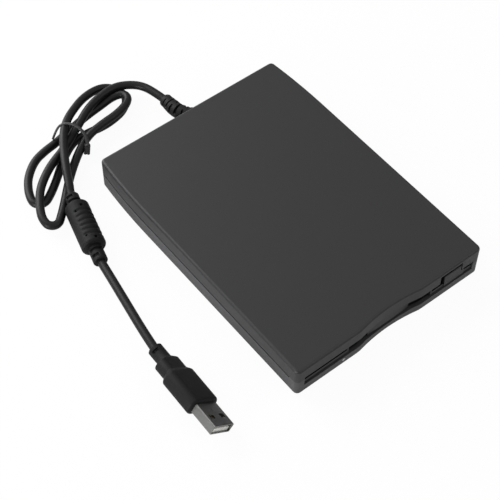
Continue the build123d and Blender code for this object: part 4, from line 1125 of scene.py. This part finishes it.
class DRIVE_OT_case(bpy.types.Operator):
    """Finishes of the covers, flap, button, light pipe, screws and feet"""

    bl_idname = "drive.case"
    bl_label = "Case"

    def execute(self, context):
        settings = context.scene.drive_case
        dress(["top_cover"], cover_abs(settings))
        dress(["bottom_cover"], tray_abs(settings))
        dress(["dust_flap", "eject_button"], flap_abs_with_painted_shade(settings))
        # Acrylic rod with a ground end: milky and a little see-through
        dress_in(
            ["light_pipe"],
            "acrylic light pipe, ground end", settings.pipe_colour, 0.35, grain_mm=0.3,
            grain_depth_mm=0.01, colour_shift=0.04,
            sockets={"IOR": 1.49, "Transmission Weight": 0.35},
        )
        # Black zinc on steel: nearly black with a dull metal shine
        dress_in(
            ["case_screws", "chassis_screws"],
            "black zinc screws", linear("3C3D3F"), 0.38, metallic=1.0, grain_mm=0.4,
            grain_depth_mm=0.005,
        )
        # Sheet rubber, die cut: dead matt with a dusty skin
        dress_in(
            ["rubber_feet"],
            "sheet rubber, die cut", settings.feet_colour, 0.85, grain_mm=0.5,
            grain_depth_mm=0.03, colour_shift=0.2,
        )
        return {"FINISHED"}


class DRIVE_OT_mechanism(bpy.types.Operator):
    """Finishes of everything inside the case"""

    bl_idname = "drive.mechanism"
    bl_label = "Mechanism"

    # the eject springs: turns, and the wire's radius in millimetres
    coil_turns = 18
    coil_wire = 0.2

    def execute(self, context):
        # Electro-zinc on folded sheet: grey with a faint crystalline mottle and rolling lines
        dress_in(
            ["chassis_frame", "eject_slide_plate", "disk_cradle", "rotor", "stepper_bracket"],
            "zinc plated sheet, folded", linear("A9ABA8"), 0.36, metallic=1.0, grain_mm=1.5,
            grain_depth_mm=0.01, stretch=(1, 0.3, 1), colour_shift=0.1, patch_mm=5.0,
        )
        # Tinplate, rolled: brighter than zinc, with long soft streaks
        dress_in(
            ["shield_plate"],
            "tinplate, rolled", linear("B9BCBE"), 0.3, metallic=1.0, grain_mm=1.0,
            grain_depth_mm=0.006, stretch=(1, 0.15, 1), colour_shift=0.06,
        )
        # Ground steel: bright and even, with a very fine grain
        dress_in(
            ["cradle_pins", "latch_post", "spindle_shaft", "hub_plate", "arm_pin", "guide_rod",
             "lead_screw"],
            "steel, ground", linear("BEBFBE"), 0.18, metallic=1.0, grain_mm=0.4,
            grain_depth_mm=0.003, colour_shift=0.04,
        )
        # Drawn spring wire: darker and warmer than ground steel
        spring = dress_in(
            ["flap_spring"],
            "spring steel wire, drawn", linear("8B8A88"), 0.3, metallic=1.0, grain_mm=0.4,
            grain_depth_mm=0.02, stretch=(0.3, 3, 0.3),
        )
        self.eject_coils(spring)
        # Natural acetal: waxy off-white
        dress_in(
            ["latch_lever", "drive_pin", "rod_blocks", "protect_plunger", "density_plunger"],
            "acetal, moulded", linear("E3E0D6"), 0.4, grain_mm=0.8, grain_depth_mm=0.01,
            colour_shift=0.04, sockets={"IOR": 1.48, "Subsurface Weight": 0.1},
        )
        # Epoxy glass with green solder mask: glossy, uneven where tracks lie under it
        dress_in(
            ["motor_board", "main_board", "usb_board"],
            "circuit board, solder masked", linear("1F5B36"), 0.25, grain_mm=2.2,
            grain_depth_mm=0.03, colour_shift=0.18, patch_mm=4.0,
        )
        # Enamelled copper, wound flat: warm and glossy, a little uneven from the turns
        dress_in(
            ["motor_coils"],
            "copper wire, enamelled", linear("B4622F"), 0.3, metallic=1.0, grain_mm=0.4,
            grain_depth_mm=0.03, colour_shift=0.15,
        )
        # Sintered bronze: brown and slightly porous
        dress_in(
            ["motor_bearing"],
            "bronze, sintered", linear("8F6A3C"), 0.45, metallic=1.0, grain_mm=0.3,
            grain_depth_mm=0.02, colour_shift=0.15,
        )
        # Bonded ferrite: charcoal with a soft sheen
        dress_in(
            ["magnet_ring"],
            "ferrite, bonded", linear("2E2C2D"), 0.5, grain_mm=0.4, grain_depth_mm=0.02,
            colour_shift=0.2,
        )
        # Glass-filled plastic, moulded: near black with a dry surface
        dress_in(
            ["head_carriage", "upper_arm"],
            "glass-filled plastic, moulded", linear("303033"), 0.55, grain_mm=0.6,
            grain_depth_mm=0.02, colour_shift=0.12,
        )
        # Lapped ceramic: dark and glassy
        dress_in(
            ["lower_head", "upper_head"],
            "head ceramic, lapped", linear("4A443F"), 0.12, grain_mm=0.5,
            grain_depth_mm=0.001, colour_shift=0.08,
        )
        # Drawn steel can: satin, a little darker than the sheet
        dress_in(
            ["stepper_motor"],
            "steel can, drawn", linear("96989A"), 0.3, metallic=1.0, grain_mm=0.6,
            grain_depth_mm=0.006, stretch=(2, 0.3, 2), colour_shift=0.06,
        )
        # Moulded epoxy packages: flat charcoal
        dress_in(
            ["sense_switches", "main_chips", "usb_chip"],
            "epoxy package, moulded", linear("252526"), 0.6, grain_mm=0.4,
            grain_depth_mm=0.01, colour_shift=0.12,
        )
        # Nylon housing: creamy, with a soft sheen
        dress_in(
            ["cord_header"],
            "nylon header, moulded", linear("E6DFC8"), 0.45, grain_mm=0.7,
            grain_depth_mm=0.01, colour_shift=0.05,
        )
        # Laminated polyester cable: pale stripes of conductor under a satin film
        dress_in(
            ["ribbon_cable"],
            "polyester ribbon cable, laminated", linear("D8D4C6"), 0.35, grain_mm=1.0,
            grain_depth_mm=0.02, stretch=(4, 0.2, 0.2), colour_shift=0.12,
        )
        # Cast epoxy lamp, unlit: pale green and clear
        dress_in(
            ["activity_lamp"],
            "epoxy lamp, cast", linear("86B85E"), 0.15, grain_mm=0.5, grain_depth_mm=0.002,
            colour_shift=0.05, sockets={"Transmission Weight": 0.4},
        )
        return {"FINISHED"}

    def eject_coils(self, spring):
        """Two open coils where the eject springs are."""
        low, high = (Vector(corner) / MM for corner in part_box("eject_springs"))
        outer = (high.z - low.z) / 2
        both = bmesh.new()
        for side_x in (low.x + outer, high.x - outer):
            axis = Vector((side_x, low.y + self.coil_wire, (low.z + high.z) / 2))
            long = high.y - low.y - 2 * self.coil_wire
            coil = skin("coil", self.coil_rings(axis, long, outer - self.coil_wire), 60.0)
            both.from_mesh(coil.data)
            bpy.data.meshes.remove(coil.data)
        data = bpy.data.meshes.new("eject_coils")
        both.to_mesh(data)
        both.free()
        piece = new_object("eject_coils", data)
        data.materials.append(spring)
        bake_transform(piece)
        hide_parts("eject_springs")

    def coil_rings(self, axis, long, radius):
        """Rings of points along one coil's wire: axis is the front end of its centre line."""
        whole = self.coil_turns * 2 * pi
        rings = []
        for turn in steps(0.0, whole, pi / 8):
            arm = Vector((cos(turn), 0, sin(turn)))
            centre = axis + Vector((0, long * turn / whole, 0)) + arm * radius
            ring = []
            for i in range(8):
                out = arm * cos(pi * i / 4) + Vector((0, sin(pi * i / 4), 0))
                ring.append((centre + out * self.coil_wire) * MM)
            rings.append(ring)
        return rings


OPERATORS = (
    DRIVE_OT_stage,
    DRIVE_OT_case,
    DRIVE_OT_mechanism,
    DRIVE_OT_strain_relief,
    DRIVE_OT_bead,
    DRIVE_OT_tie,
    DRIVE_OT_plug,
    DRIVE_OT_cord,
)
SETTINGS = {
    "drive_case": CaseSettings,
    "drive_cord": CordSettings,
    "drive_plug": PlugSettings,
    "drive_stage": StageSettings,
}


class DRIVE_PT_panel(bpy.types.Panel):
    """Lists the pieces and their settings"""

    bl_idname = "DRIVE_PT_panel"
    bl_label = "Floppy Drive"
    bl_space_type = "VIEW_3D"
    bl_region_type = "UI"
    bl_category = "Floppy Drive"

    def draw(self, context):
        for name, group in SETTINGS.items():
            box = self.layout.box()
            values = getattr(context.scene, name)
            for key in group.__annotations__:
                box.prop(values, key)
        for operator in OPERATORS:
            self.layout.operator(operator.bl_idname)


def register():
    for group in (*SETTINGS.values(), *OPERATORS, DRIVE_PT_panel):
        bpy.utils.register_class(group)
    for name, group in SETTINGS.items():
        setattr(bpy.types.Scene, name, bpy.props.PointerProperty(type=group))


def unregister():
    for name in SETTINGS:
        delattr(bpy.types.Scene, name)
    for group in (DRIVE_PT_panel, *OPERATORS, *SETTINGS.values()):
        bpy.utils.unregister_class(group)


def main():
    register()
    bpy.ops.drive.stage()
    bpy.ops.drive.case()
    bpy.ops.drive.mechanism()
    bpy.ops.drive.strain_relief()
    bpy.ops.drive.bead()
    bpy.ops.drive.tie()
    bpy.ops.drive.plug()
    bpy.ops.drive.cord()


if __name__ == "__main__":
    main()
